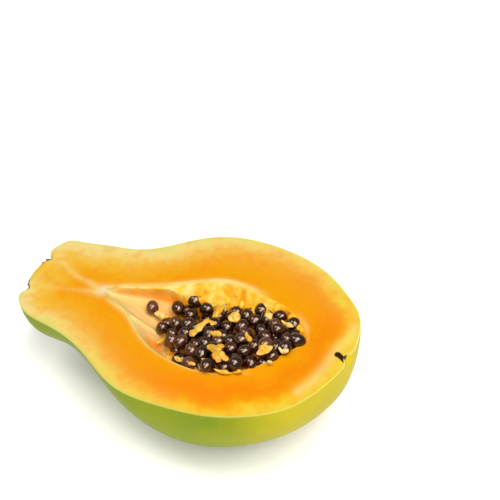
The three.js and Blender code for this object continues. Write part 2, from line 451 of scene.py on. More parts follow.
@dataclass(frozen=True)
class Mark:
    """A mark along a path in the cut plane: its path, its width and its strength."""

    path: Path
    width: float
    strength: float

    def at(self, flat: Array) -> Array:
        """Its strength at points."""
        return self.strength * ridge(flat, self.path, self.width)


@dataclass(frozen=True)
class Relief:
    """A round relief at an end of the fruit: how far it stands out, its radius, and its width or its y."""

    rise: float
    radius: float
    width: float = 0.0
    y: float = 0.0


@dataclass(frozen=True)
class FruitForm:
    """The outside of the half fruit. Stations run from stem to blossom end, closer together at both ends."""

    length: float = 160.0
    far: tuple[float, ...] = (10.5, 23.5, 26, 28, 32.5, 47.5, 53, 50.5, 43, 31.5, 19.5, 0)
    near: tuple[float, ...] = (8.5, 20, 26, 29.5, 37.5, 50, 53, 51.5, 45, 33.5, 15.5, 0)
    depth: tuple[float, ...] = (10, 23, 28, 32, 39, 51, 56.5, 52, 43, 32, 20.5, 0)
    power: tuple[float, ...] = (2.1, 2.1, 2.1, 1.7, 1.65, 1.9, 2.25, 2.25, 2.2, 2.2, 2.1, 2.1)
    button: Relief = Relief(1.2, 0.0, width=6.0)  # the stem scar's middle
    groove: Relief = Relief(-2.4, 10.5, width=2.2)  # the ring round it
    shoulder: Relief = Relief(1.0, 16.5, width=4.0)
    pit: Relief = Relief(-2.6, 3.2, y=-2.3)  # the blossom scar

    def along(self, u: Array) -> Array:
        """x at u along the fruit."""
        return self.length * (1 - np.cos(math.pi * u)) / 2

    def stem_relief(self, radius: Array) -> Array:
        """How far the stem end moves along x at a distance from the middle line."""
        rings = (self.button, self.groove, self.shoulder)
        return sum(-ring.rise * bump(radius - ring.radius, ring.width) for ring in rings)

    def pit_relief(self, y: Array, z: Array) -> Array:
        """How far the blossom end moves along x round its scar."""
        return self.pit.rise * bump(np.hypot(y - self.pit.y, z), self.pit.radius)

    def outside(self, u: Array, share: Array, angle: Array) -> Array:
        """Points of the skin.

        Args:
            u: Rows along the fruit, 0 at the stem end and 1 at the blossom end.
            share: How much of the section's size each row has.
            angle: Columns round the fruit, 0 at the near edge and pi at the far edge.

        Returns:
            An array of rows, columns and coordinates.
        """
        size = share[:, None]
        across = np.cos(angle)[None, :]
        down = np.abs(np.sin(angle))[None, :]
        power = smooth_curve(self.power)(u)[:, None]
        reach = (np.abs(across) ** power + down**power) ** (-1 / power)
        far = smooth_curve(self.far)(u)[:, None]
        near = smooth_curve(self.near)(u)[:, None]
        width = np.where(across > 0, near, far)
        y = -size * width * reach * across
        z = -size * smooth_curve(self.depth)(u)[:, None] * reach * down
        relief = np.where(u[:, None] < 0.5, self.stem_relief(np.hypot(y, z)), self.pit_relief(y, z))
        x = self.along(u)[:, None] + relief
        return np.stack([x, y, z], axis=-1)

    def inset(self, grid: Array, by: float) -> Array:
        """Moves a grid of skin points inwards, square to the skin.

        Args:
            grid: The points, as rows, columns and coordinates.
            by: The distance, mm.

        Returns:
            The moved grid.
        """
        lengthwise = np.gradient(grid, axis=0)
        round_about = np.gradient(grid, axis=1)
        normal = np.cross(round_about, lengthwise)
        normal /= np.maximum(np.linalg.norm(normal, axis=-1, keepdims=True), TINY)
        normal[:, [0, -1], 2] = 0  # so that the cut edge stays in the cut face
        middle = grid.mean(axis=1, keepdims=True)
        outwards = np.sign(((grid - middle) * normal).sum())
        moved = grid - by * outwards * normal
        moved[:, [0, -1], 2] = grid[:, [0, -1], 2]
        return moved


@dataclass(frozen=True)
class CavityForm:
    """The seed cavity, with stations from its narrow tip to its round end, closer together at both ends."""

    start: float = 38.0
    end: float = 139.0
    far: tuple[float, ...] = (0, 3.5, 7.5, 14, 22.5, 21, 16, 7.5, 2)
    near: tuple[float, ...] = (0, 3.5, 8.5, 22, 29.3, 29, 18.5, 4.5, -2)
    depth: tuple[float, ...] = (0, 3.5, 6.5, 13, 32, 35, 28, 16, 0)
    tip_section: tuple[float, float, float] = (0.76, 1.8, 3.4)  # share of the bottom, near and far power
    belly_section: tuple[float, float, float] = (0.5, 2.6, 2.6)
    section_change: Range = (52.0, 92.0)

    def along(self, x: Array) -> Array:
        """The station share at x."""
        even = np.clip((x - self.start) / (self.end - self.start), 0, 1)
        return np.arccos(1 - 2 * even) / math.pi

    def edges(self, x: Array, inset: float = 0.0) -> tuple[Array, Array]:
        """Finds the cavity's edges.

        Args:
            x: Where along the fruit.
            inset: How far they are drawn in.

        Returns:
            The near edge's y and the far edge's.
        """
        t = self.along(x)
        near = inset - smooth_curve(self.near)(t)
        return near, np.maximum(smooth_curve(self.far)(t) - inset, near)

    def bottom(self, x: Array, inset: float = 0.0) -> Array:
        """Finds where the cavity is deepest.

        Args:
            x: Where along the fruit.
            inset: How far the cavity is drawn in.

        Returns:
            The y.
        """
        near, far = self.edges(x, inset)
        change = smooth_step(x, *self.section_change)
        return blend(near, far, blend(self.tip_section[0], self.belly_section[0], change))

    def floor(self, x: Array, y: Array, inset: float = 0.0) -> Array:
        """The height of the cavity's wall and bottom.

        Args:
            x: Where along the fruit.
            y: Where across it.
            inset: How far the cavity is drawn in.

        Returns:
            The height, 0 outside the cavity.
        """
        near, far = self.edges(x, inset)
        change = smooth_step(x, *self.section_change)
        powers = zip(self.tip_section[1:], self.belly_section[1:])
        near_power, far_power = (blend(*ends, change) for ends in powers)
        bottom = self.bottom(x, inset)
        depth = np.maximum(smooth_curve(self.depth)(self.along(x)) - 2 * inset, 0)
        towards_near = y < bottom
        span = np.where(towards_near, near - bottom, far - bottom)
        out = np.clip((y - bottom) / np.where(np.abs(span) < 1e-6, 1e-6, span), 0, 1)
        power = np.where(towards_near, near_power, far_power)
        inside = (x > self.start) & (x < self.end)
        return np.where(inside, -depth * (1 - out**power), 0.0)

    def outline(self, count: int = 160) -> Array:
        """Follows the cut edge of the cavity.

        Args:
            count: The points along each side.

        Returns:
            A closed path of x and y.
        """
        x = self.start + (self.end - self.start) * crowded(count)
        near, far = self.edges(x)
        there = np.stack([x, near], axis=1)
        back = np.stack([x, far], axis=1)[::-1]
        return np.concatenate([there, back, there[:1]])


@dataclass(frozen=True)
class Drapes:
    """The soft pulp that hangs down the cavity's far wall, from the cut edge over the first seeds."""

    cavity: CavityForm
    start: Range = (38.0, 46.0)
    finish: Range = (141.0, 138.0)
    stations: tuple[float, ...] = (40, 48, 58, 67, 75, 84, 104, 124)
    widths: tuple[float, ...] = (0.8, 1.1, 1.5, 2.4, 6.4, 9.0, 9.0, 3.0)
    slopes: tuple[float, ...] = (0.25, 0.25, 0.28, 0.35, 0.60, 0.85, 0.85, 0.85)
    lip: float = 0.7  # how far the cut edge is rounded
    lumpy: Range = (64.0, 80.0)  # where the smooth lip turns into lumpy pulp
    bulge: float = 0.5
    bulge_from: Range = (0.0, 2.0)  # gaps over which the folds grow to their full height
    fold_length: float = 5.5
    fold_stretch: float = 0.35  # makes the folds run down the wall
    lump_length: float = 2.8
    lump_share: float = 0.35
    least_sink: float = 0.02
    ragged: float = 0.9  # how far the pulp's lower edge strays
    ragged_length: float = 6.0
    smooth_fade: Range = (-0.3, 0.3)  # of the lower edge of the smooth lip
    lumpy_fade: Range = (-0.5, 1.1)  # what lumpy pulp adds to that

    def gap(self, flat: Array) -> Array:
        """Distance from the cavity's far edge in the cut plane."""
        outline = self.cavity.outline()
        return distance_to_path(flat, outline[len(outline) // 2 :])

    def width(self, x: Array) -> Array:
        """How far the pulp reaches in from the far edge."""
        return np.interp(x, self.stations, self.widths)

    def fall(self, x: Array, gap: Array) -> Array:
        """How far the pulp's surface has fallen below the cut face, apart from its folds."""
        return np.interp(x, self.stations, self.slopes) * (gap - self.lip * (1 - np.exp(-gap / self.lip)))

    def height(self, flat: Array, gap: Array) -> Array:
        """Height of the pulp's surface: folds that run down the wall, with finer lumps on them.

        Args:
            flat: Points in the cut plane.
            gap: Their distances from the cavity's far edge.

        Returns:
            One height a point.
        """
        x = flat[:, 0]
        folds = Ripples(13, self.fold_length).at(np.stack([x, self.fold_stretch * gap, 0 * gap], axis=1))
        lumps = Ripples(14, self.lump_length).at(np.stack([x, gap, 0 * gap], axis=1))
        relief = self.bulge * smooth_step(gap, *self.bulge_from) * (folds + self.lump_share * lumps)
        return np.minimum(relief * smooth_step(x, *self.lumpy) - self.fall(x, gap), -self.least_sink)

    def share(self, flat: Array, gap: Array) -> Array:
        """How much of the wall the pulp covers.

        Args:
            flat: Points in the cut plane.
            gap: Their distances from the cavity's far edge.

        Returns:
            1 where the pulp covers the wall, 0 beyond it.
        """
        x = flat[:, 0]
        lumpy = smooth_step(x, *self.lumpy)
        strays = Ripples(15, self.ragged_length).at(np.stack([x, 0 * gap, 0 * gap], axis=1))
        edge = self.width(x) + self.ragged * lumpy * strays
        start, end = (smooth + more * lumpy for smooth, more in zip(self.smooth_fade, self.lumpy_fade))
        along = smooth_step(x, *self.start) * smooth_step(x, *self.finish)
        return along * (1 - smooth_step(gap - edge, start, end))


@dataclass(frozen=True)
class HeapForm:
    """The surface that the top seeds rest in. Levels run beside the near and the far wall in even steps."""

    cavity: CavityForm
    start: float = 59.0
    end: float = 140.0
    near_levels: tuple[float, ...] = (-13, -9.5, -1, 1.2, 0.8, -1)
    far_levels: tuple[float, ...] = (-8, -8.5, -10.5, -8, -4, -3)
    crown: float = 1.5

    def level(self, x: Array, y: Array) -> Array:
        """Height of the surface.

        Args:
            x: Where along the fruit.
            y: Where across it.

        Returns:
            The height.
        """
        near, far = self.cavity.edges(x)
        t = (x - self.start) / (self.end - self.start)
        across = np.clip((y - near) / np.maximum(far - near, 1), 0, 1)
        beside_near, beside_far = (smooth_curve(levels)(t) for levels in (self.near_levels, self.far_levels))
        return blend(beside_near, beside_far, across) + self.crown * np.sin(math.pi * across)


# ---- Finishes ----


def opaque(colour: Colour) -> tuple[float, float, float, float]:
    """The colour with full alpha, as sockets take it."""
    return (*colour, 1.0)


class NodeSheet:
    """Adds and wires the nodes of one shader node tree."""

    MIX_FIRST, MIX_SECOND, MIX_RESULT = 6, 7, 2  # the colour sockets of a mix node

    def __init__(self, tree: NodeTree) -> None:
        """Starts on an empty tree."""
        self.tree = tree
        tree.nodes.clear()

    def add(self, kind: str, feeds: dict | None = None, **settings: object) -> Node:
        """Adds a node.

        Args:
            kind: The node's type.
            feeds: A value or an output socket for each named or numbered input.
            **settings: The node's own settings.

        Returns:
            The node.
        """
        node = self.tree.nodes.new(kind)
        for key, value in settings.items():
            setattr(node, key, value)
        for key, value in (feeds or {}).items():
            self.feed(node.inputs[key], value)
        return node

    def feed(self, socket: Socket, value: object) -> None:
        """Links an output to a socket, or sets the socket's own value.

        Args:
            socket: The input socket.
            value: An output socket or a value.
        """
        if isinstance(value, Socket):
            self.tree.links.new(value, socket)
        else:
            socket.default_value = value

    def painted(self, key: str) -> Socket:
        """A value that was painted on the mesh."""
        return self.add("ShaderNodeAttribute", attribute_name=key).outputs["Fac"]

    def place(self) -> Socket:
        """The surface point, in metres."""
        return self.add("ShaderNodeTexCoord").outputs["Object"]

    def mix(self, share: object, first: object, second: object) -> Socket:
        """A mix of two colours by a share."""
        feeds = {0: share, self.MIX_FIRST: self._colour(first), self.MIX_SECOND: self._colour(second)}
        return self.add("ShaderNodeMix", feeds, data_type="RGBA").outputs[self.MIX_RESULT]

    @staticmethod
    def _colour(value: object) -> object:
        """A colour with alpha where it was given as three numbers."""
        return opaque(value) if isinstance(value, tuple) and len(value) == 3 else value

    def sum(self, operation: str, *values: object) -> Socket:
        """The result of a math operation."""
        return self.add("ShaderNodeMath", dict(enumerate(values)), operation=operation).outputs[0]

    def span(self, value: object, low: float, high: float, to_low: float, to_high: float) -> Socket:
        """A value stretched from one range to another, and kept within it."""
        feeds = {"Value": value, "From Min": low, "From Max": high, "To Min": to_low, "To Max": to_high}
        return self.add("ShaderNodeMapRange", feeds).outputs["Result"]

    def between(self, mask: object, low: float, high: float) -> Socket:
        """A value that is low where the mask is 0 and high where it is 1."""
        return self.span(mask, 0, 1, low, high)

    def ramp(self, share: object, stops: Stops) -> Socket:
        """A colour from a row of stops.

        Args:
            share: Where along the row.
            stops: Places from 0 to 1 and their colours.

        Returns:
            The colour.
        """
        node = self.add("ShaderNodeValToRGB", {"Fac": share})
        node.color_ramp.interpolation = "LINEAR"
        elements = node.color_ramp.elements
        while len(elements) < len(stops):
            elements.new(0.5)
        for element, (position, colour) in zip(elements, stops):
            element.position = position
            element.color = opaque(colour)
        return node.outputs["Color"]


class SharedEffects:
    """Shader node groups that several finishes use, each built once."""

    COARSE_SHARE = 0.6  # of the large blotches in the mottling
    FINE_SHARE = 0.4
    MIDDLE = 0.5  # of the mask's range

    def __init__(self) -> None:
        """Builds the groups."""
        self.mottling = self._mottling()
        self.grain = self._grain()

    @staticmethod
    def _new(name: str, inputs: dict[str, float], output: str) -> tuple[NodeSheet, Node, Node]:
        """An empty group.

        Args:
            name: The group's name.
            inputs: Its float inputs and their usual values.
            output: Its float output.

        Returns:
            The group's sheet, its input node and its output node.
        """
        tree = bpy.data.node_groups.new(name, "ShaderNodeTree")
        sheet = NodeSheet(tree)
        for key, value in inputs.items():
            socket = tree.interface.new_socket(key, in_out="INPUT", socket_type="NodeSocketFloat")
            socket.default_value = value
        tree.interface.new_socket(output, in_out="OUTPUT", socket_type="NodeSocketFloat")
        return sheet, sheet.add("NodeGroupInput"), sheet.add("NodeGroupOutput")

    def _mottling(self) -> NodeTree:
        """Soft blotches with finer ones inside them.

        Returns:
            The group, whose output is a mask from 0 to 1.
        """
        sheet, given, out = self._new("mottling", {"Scale": 60.0, "Finer": 4.0, "Contrast": 2.0}, "Mask")
        where = sheet.place()
        scale = given.outputs["Scale"]
        coarse = sheet.add("ShaderNodeTexNoise", {"Vector": where, "Scale": scale, "Detail": 2.0})
        fine_scale = sheet.sum("MULTIPLY", scale, given.outputs["Finer"])
        fine = sheet.add("ShaderNodeTexNoise", {"Vector": where, "Scale": fine_scale, "Detail": 3.0})
        large = sheet.sum("MULTIPLY", coarse.outputs["Fac"], self.COARSE_SHARE)
        both = sheet.sum("MULTIPLY_ADD", fine.outputs["Fac"], self.FINE_SHARE, large)
        centred = sheet.sum("MULTIPLY", sheet.sum("SUBTRACT", both, self.MIDDLE), given.outputs["Contrast"])
        mask = sheet.add("ShaderNodeClamp", {"Value": sheet.sum("ADD", centred, self.MIDDLE)})
        sheet.feed(out.inputs["Mask"], mask.outputs["Result"])
        return sheet.tree

    def _grain(self) -> NodeTree:
        """Fine cells over soft waves.

        Returns:
            The group, whose output is a height.
        """
        sheet, given, out = self._new("fine grain", {"Scale": 400.0, "Waves": 90.0, "Cells": 0.5}, "Height")
        where = sheet.place()
        feeds = {"Vector": where, "Scale": given.outputs["Waves"], "Detail": 3.0}
        waves = sheet.add("ShaderNodeTexNoise", feeds)
        cells = sheet.add("ShaderNodeTexVoronoi", {"Vector": where, "Scale": given.outputs["Scale"]})
        cell_height = sheet.sum("MULTIPLY", cells.outputs["Distance"], given.outputs["Cells"])
        sheet.feed(out.inputs["Height"], sheet.sum("ADD", waves.outputs["Fac"], cell_height))
        return sheet.tree


@dataclass(frozen=True)
class Mottle:
    """How the mottling is set: its scale, how much finer the small blotches are, and the contrast."""

    scale: float
    finer: float
    contrast: float


@dataclass(frozen=True)
class Grain:
    """A fine relief: the scales of its cells and waves, the cells' height, its strength and its depth, mm."""

    scale: float
    waves: float
    cells: float
    strength: float
    depth: float


@dataclass(frozen=True)
class Soak:
    """How light soaks in: its share, how far red, green and blue go as shares of the reach, the reach, mm."""

    share: float
    colours: Colour
    reach: float


class MaterialSheet(NodeSheet):
    """The nodes of a material with one Principled shader."""

    def __init__(self, name: str, effects: SharedEffects) -> None:
        """Starts the material.

        Args:
            name: The material's name.
            effects: The shared node groups.
        """
        self.material = bpy.data.materials.new(name)
        self.material.use_nodes = True
        self.effects = effects
        super().__init__(self.material.node_tree)
        self.shader = self.add("ShaderNodeBsdfPrincipled")
        self.add("ShaderNodeOutputMaterial", {"Surface": self.shader.outputs["BSDF"]})

    def set(self, **values: object) -> None:
        """Feeds the shader's sockets; words in a socket's name are joined by _ here."""
        for key, value in values.items():
            self.feed(self.shader.inputs[key.replace("_", " ")], value)

    def mottled(self, mottle: Mottle) -> Socket:
        """A mask of soft blotches."""
        feeds = {"Scale": mottle.scale, "Finer": mottle.finer, "Contrast": mottle.contrast}
        return self.add("ShaderNodeGroup", feeds, node_tree=self.effects.mottling).outputs["Mask"]

    def grained(self, grain: Grain) -> Socket:
        """The height of a fine relief."""
        feeds = {"Scale": grain.scale, "Waves": grain.waves, "Cells": grain.cells}
        return self.add("ShaderNodeGroup", feeds, node_tree=self.effects.grain).outputs["Height"]

    def soak(self, soak: Soak) -> None:
        """Lets light soak into the surface."""
        self.set(Subsurface_Weight=soak.share, Subsurface_Radius=soak.colours)
        self.set(Subsurface_Scale=soak.reach * MM)

    def relief(self, height: Socket, grain: Grain) -> None:
        """Bumps the surface by a height."""
        feeds = {"Height": height, "Strength": grain.strength, "Distance": grain.depth * MM}
        self.set(Normal=self.add("ShaderNodeBump", feeds).outputs["Normal"])


@dataclass(frozen=True, kw_only=True)
class Finish:
    """What all finishes have in common; an effect that is None is left out."""

    name: str
    roughness: Range
    specular: float | None = None
    sheen: Colour | None = None  # the colour of its reflections
    coat: Range | None = None
    coat_roughness: float | None = None
    grain: Grain | None = None
    soak: Soak | None = None

    def material(self, effects: SharedEffects) -> Material:
        """Builds the material.

        Args:
            effects: The shared node groups.

        Returns:
            The material.
        """
        sheet = MaterialSheet(self.name, effects)
        colour, blotches = self.colour(sheet)
        height = self.grain and sheet.grained(self.grain)
        sheet.set(Base_Color=colour, Roughness=sheet.between(blotches, *self.roughness))
        if self.specular is not None:
            sheet.set(Specular_IOR_Level=self.specular)
        if self.sheen:
            sheet.set(Specular_Tint=opaque(self.sheen))
        if self.coat:
            sheet.set(Coat_Weight=sheet.between(blotches, *self.coat), Coat_Roughness=self.coat_roughness)
        if self.soak:
            sheet.soak(self.soak)
        if self.grain:
            sheet.relief(height, self.grain)
        return sheet.material

    def colour(self, sheet: MaterialSheet) -> tuple[object, Socket]:
        """The surface's colour, and the mask of blotches that also varies its roughness and its coat."""
        raise NotImplementedError


@dataclass(frozen=True, kw_only=True)
class FleshFinish(Finish):
    """Ripe flesh: pale beside the skin, orange inside, with a golden lining in the cavity.

    Stops run inwards from the skin. The first row is the palest flesh, beside the neck, and the second the
    most orange, at the blossom end.
    """

    name: str = "ripe flesh"
    pale_rows: Stops = (
        (0.0, (0.47, 0.43, 0.150)),
        (0.07, (0.525, 0.435, 0.160)),
        (0.21, (0.53, 0.405, 0.125)),
        (0.35, (0.53, 0.355, 0.062)),
        (0.55, (0.53, 0.300, 0.022)),
        (0.80, (0.53, 0.240, 0.004)),
        (1.0, (0.53, 0.205, 0.001)),
    )
    orange_rows: Stops = (
        (0.0, (0.496, 0.376, 0.0288)),
        (0.09, (0.522, 0.334, 0.0144)),
        (0.19, (0.522, 0.257, 0.00205)),
        (0.33, (0.522, 0.183, 0)),
        (0.50, (0.522, 0.155, 0)),
        (0.70, (0.522, 0.188, 0)),
        (0.9, (0.522, 0.22, 0)),
    )
    blush: Colour = (0.55, 0.145, 0.0)
    lining: Stops = (
        (0.0, (0.56, 0.34, 0.040)),
        (0.3, (0.58, 0.30, 0.020)),
        (0.65, (0.60, 0.24, 0.008)),
        (1.0, (0.60, 0.20, 0.003)),
    )
    # the low end is the painted shade in the hollows between the pulp's folds, the high end the paler raised
    # folds
    drapes: Stops = (
        (0.0, (0.68, 0.23, 0.004)),
        (0.3, (0.68, 0.32, 0.014)),
        (0.6, (0.66, 0.39, 0.050)),
        (1.0, (0.60, 0.46, 0.160)),
    )
    cream: Colour = (0.55, 0.46, 0.165)
    salmon: Colour = (0.64, 0.37, 0.125)
    deep: Colour = (0.86, 0.27, 0.030)
    # painted shade: a dark line along the near edge's small step, where it falls in shadow
    crease: Colour = (0.30, 0.27, 0.060)
    tip: Colour = (0.50, 0.43, 0.30)
    scar: Colour = (0.02, 0.006, 0.002)
    blotches: Mottle = Mottle(70.0, 4.0, 3.0)
    clouds: Mottle = Mottle(22.0, 3.0, 3.0)
    streaks: Mottle = Mottle(110.0, 2.5, 3.0)
    stray: Range = (-0.10, 0.10)  # how far blotches and clouds move the stops
    fold_stray: Range = (-0.12, 0.12)
    blush_streaks: Span = (0.45, 1.0, 0.0, 0.35)
    cream_streaks: Span = (0.2, 0.9, 0.6, 1.0)
    roughness: Range = (0.45, 0.65)
    specular: float = 0.05
    grain: Grain = Grain(900.0, 260.0, 0.5, strength=0.35, depth=0.2)
    soak: Soak = Soak(0.25, (1.0, 0.35, 0.08), 2.5)

    def colour(self, sheet: MaterialSheet) -> tuple[object, Socket]:
        """The flesh's body, then the cavity's lining, then the marks on both.

        Args:
            sheet: The material's nodes.

        Returns:
            The colour, and the mask of blotches.
        """
        blotches = sheet.mottled(self.blotches)
        clouds = sheet.mottled(self.clouds)
        stray = sheet.sum("ADD", sheet.between(blotches, *self.stray), sheet.between(clouds, *self.stray))
        body = self.body(sheet, stray, clouds)
        lining = sheet.ramp(sheet.sum("ADD", sheet.painted("depth"), stray), self.lining)
        colour = sheet.mix(sheet.painted("inside"), body, lining)
        # the folds' tone holds painted shade: darker orange in their hollows
        fold = sheet.sum("ADD", sheet.painted("fold"), sheet.between(blotches, *self.fold_stray))
        colour = sheet.mix(sheet.painted("drape"), colour, sheet.ramp(fold, self.drapes))
        colour = self.marked(sheet, colour, salmon=self.salmon, deep=self.deep)
        streaks = sheet.span(blotches, *self.cream_streaks)
        colour = sheet.mix(sheet.sum("MULTIPLY", sheet.painted("cream"), streaks), colour, self.cream)
        # the crease mark is a painted shade line along the near edge
        return self.marked(sheet, colour, crease=self.crease, tip=self.tip, scar=self.scar), blotches

    def body(self, sheet: MaterialSheet, stray: object, clouds: object) -> Socket:
        """The colour of the cut flesh.

        Args:
            sheet: The material's nodes.
            stray: How far the stops are moved.
            clouds: The mask of large blotches.

        Returns:
            The colour.
        """
        rim = sheet.sum("ADD", sheet.painted("rim"), stray)
        pale = sheet.between(sheet.sum("ADD", sheet.painted("pale"), stray), 0, 1)
        body = sheet.mix(pale, sheet.ramp(rim, self.orange_rows), sheet.ramp(rim, self.pale_rows))
        body = sheet.mix(sheet.sum("MULTIPLY", sheet.painted("blush"), clouds), body, self.blush)
        streaks = sheet.mottled(self.streaks)
        return sheet.mix(sheet.span(streaks, *self.blush_streaks), body, self.blush)

    @staticmethod
    def marked(sheet: MaterialSheet, colour: object, **marks: Colour) -> object:
        """Lays marks over a colour, each where its painted value says.

        Args:
            sheet: The material's nodes.
            colour: The colour.
            **marks: The painted values and their marks' colours.

        Returns:
            The marked colour.
        """
        for key, mark in marks.items():
            colour = sheet.mix(sheet.painted(key), colour, mark)
        return colour


@dataclass(frozen=True, kw_only=True)
class SkinFinish(Finish):
    """Smooth green skin that turns yellow towards the blossom end."""

    name: str = "papaya skin"
    green: Colour = (0.195, 0.262, 0.002)
    deep_green: Colour = (0.150, 0.212, 0.002)
    yellow: Colour = (0.62, 0.45, 0.015)
    speck: Colour = (0.36, 0.33, 0.012)
    scar: Colour = (0.22, 0.11, 0.045)
    dark_scar: Colour = (0.035, 0.014, 0.006)
    cut_edge: Colour = (0.56, 0.50, 0.13)
    sheen: Colour = (1.0, 1.0, 0.35)
    patches: Mottle = Mottle(30.0, 4.0, 2.6)
    crust: Mottle = Mottle(700.0, 3.0, 4.0)
    green_share: Range = (0.25, 0.75)
    ripe_stray: Range = (-0.06, 0.06)
    speck_scale: float = 330.0
    speck_fade: Span = (0.10, 0.22, 0.35, 0.0)
    roughness: Range = (0.42, 0.55)
    specular: float = 0.07
    grain: Grain = Grain(420.0, 130.0, 0.35, strength=0.25, depth=0.2)
    soak: Soak = Soak(0.12, (0.9, 1.0, 0.2), 1.2)

    def colour(self, sheet: MaterialSheet) -> tuple[object, Socket]:
        """Green to yellow, specks, then the cut edge and the two scars.

        Args:
            sheet: The material's nodes.

        Returns:
            The colour, and the mask of blotches.
        """
        patches = sheet.mottled(self.patches)
        green = sheet.mix(sheet.between(patches, *self.green_share), self.deep_green, self.green)
        ripe = sheet.sum("ADD", sheet.painted("ripe"), sheet.between(patches, *self.ripe_stray))
        colour = sheet.mix(sheet.between(ripe, 0, 1), green, self.yellow)
        specks = sheet.add("ShaderNodeTexVoronoi", {"Vector": sheet.place(), "Scale": self.speck_scale})
        colour = sheet.mix(sheet.span(specks.outputs["Distance"], *self.speck_fade), colour, self.speck)
        bark = sheet.mix(sheet.mottled(self.crust), self.dark_scar, self.scar)
        for key, mark in (("rim", self.cut_edge), ("scar", bark), ("pit", self.dark_scar)):
            colour = sheet.mix(sheet.painted(key), colour, mark)
        return colour, patches


@dataclass(frozen=True, kw_only=True)
class SeedFinish(Finish):
    """Ripe seeds, black-brown in a thin wet jelly, with milky patches that are partly the jelly and partly
    painted highlight.
    """

    name: str = "wet papaya seed"
    black: Colour = (0.002, 0.001, 0.0006)
    brown: Colour = (0.038, 0.007, 0.001)
    # colour of the milky patches: partly the jelly, partly painted highlight
    jelly: Colour = (0.100, 0.036, 0.014)
    sheen: Colour = (1.0, 0.64, 0.44)
    clouds: Mottle = Mottle(330.0, 3.0, 3.0)
    veil_fade: Span = (0.9, 1.6, 0.0, 0.7)
    roughness: Range = (0.10, 0.16)
    specular: float = 1.0
    coat: Range = (0.2, 0.7)
    coat_roughness: float = 0.24
    grain: Grain = Grain(700.0, 420.0, 0.6, strength=0.05, depth=0.2)

    def colour(self, sheet: MaterialSheet) -> tuple[object, Socket]:
        """Black to brown, with milky patches that are partly jelly and partly painted highlight.

        Args:
            sheet: The material's nodes.

        Returns:
            The colour, and the mask of blotches.
        """
        clouds = sheet.mottled(self.clouds)
        tone = sheet.painted("tone")
        colour = sheet.mix(sheet.sum("MULTIPLY", tone, clouds), self.black, self.brown)
        # painted highlight: milky patches where the painted value and the clouds are high
        veil = sheet.span(sheet.sum("ADD", sheet.painted("veil"), clouds), *self.veil_fade)
        return sheet.mix(veil, colour, self.jelly), clouds


@dataclass(frozen=True, kw_only=True)
class PulpFinish(Finish):
    """Soft pulp, from a deep tone over a golden one to a pale one."""

    pale: Colour
    golden: Colour
    deep: Colour
    blotches: Mottle = Mottle(220.0, 3.0, 3.0)
    stray: Range = (-0.25, 0.25)
    roughness: Range = (0.25, 0.45)
    specular: float = 0.4
    coat: Range = (0.05, 0.3)
    coat_roughness: float = 0.2
    grain: Grain = Grain(900.0, 420.0, 0.5, strength=0.4, depth=0.3)
    soak: Soak = Soak(0.4, (1.0, 0.55, 0.15), 2.0)

    def colour(self, sheet: MaterialSheet) -> tuple[object, Socket]:
        """A blotchy tone.

        Args:
            sheet: The material's nodes.

        Returns:
            The colour, and the mask of blotches.
        """
        blotches = sheet.mottled(self.blotches)
        tone = sheet.sum("ADD", sheet.painted("tone"), sheet.between(blotches, *self.stray))
        return sheet.ramp(tone, ((0.0, self.deep), (0.5, self.golden), (1.0, self.pale))), blotches


GOLDEN_PULP = PulpFinish(
    name="golden pulp", pale=(0.60, 0.48, 0.20), golden=(0.57, 0.32, 0.018), deep=(0.50, 0.17, 0.003)
)
SEED_BED = PulpFinish(
    name="seed bed", pale=(0.80, 0.42, 0.02), golden=(0.45, 0.15, 0.010), deep=(0.07, 0.02, 0.005)
)
CAVITY_LINING = PulpFinish(
    name="cavity lining", pale=(0.62, 0.49, 0.20), golden=(0.66, 0.42, 0.045), deep=(0.68, 0.31, 0.012),
    specular=0.04, coat=(0.005, 0.03),
)


@dataclass(frozen=True, kw_only=True)
class TableFinish(Finish):
    """A plain white table top with a faint unevenness."""

    name: str = "white table"
    white: Colour = (0.95, 0.95, 0.95)
    clouds: Mottle = Mottle(3.0, 3.0, 1.0)
    roughness: Range = (0.6, 0.7)

    def colour(self, sheet: MaterialSheet) -> tuple[object, Socket]:
        """White, and faint clouds."""
        return opaque(self.white), sheet.mottled(self.clouds)


# ---- The fruit's pieces ----


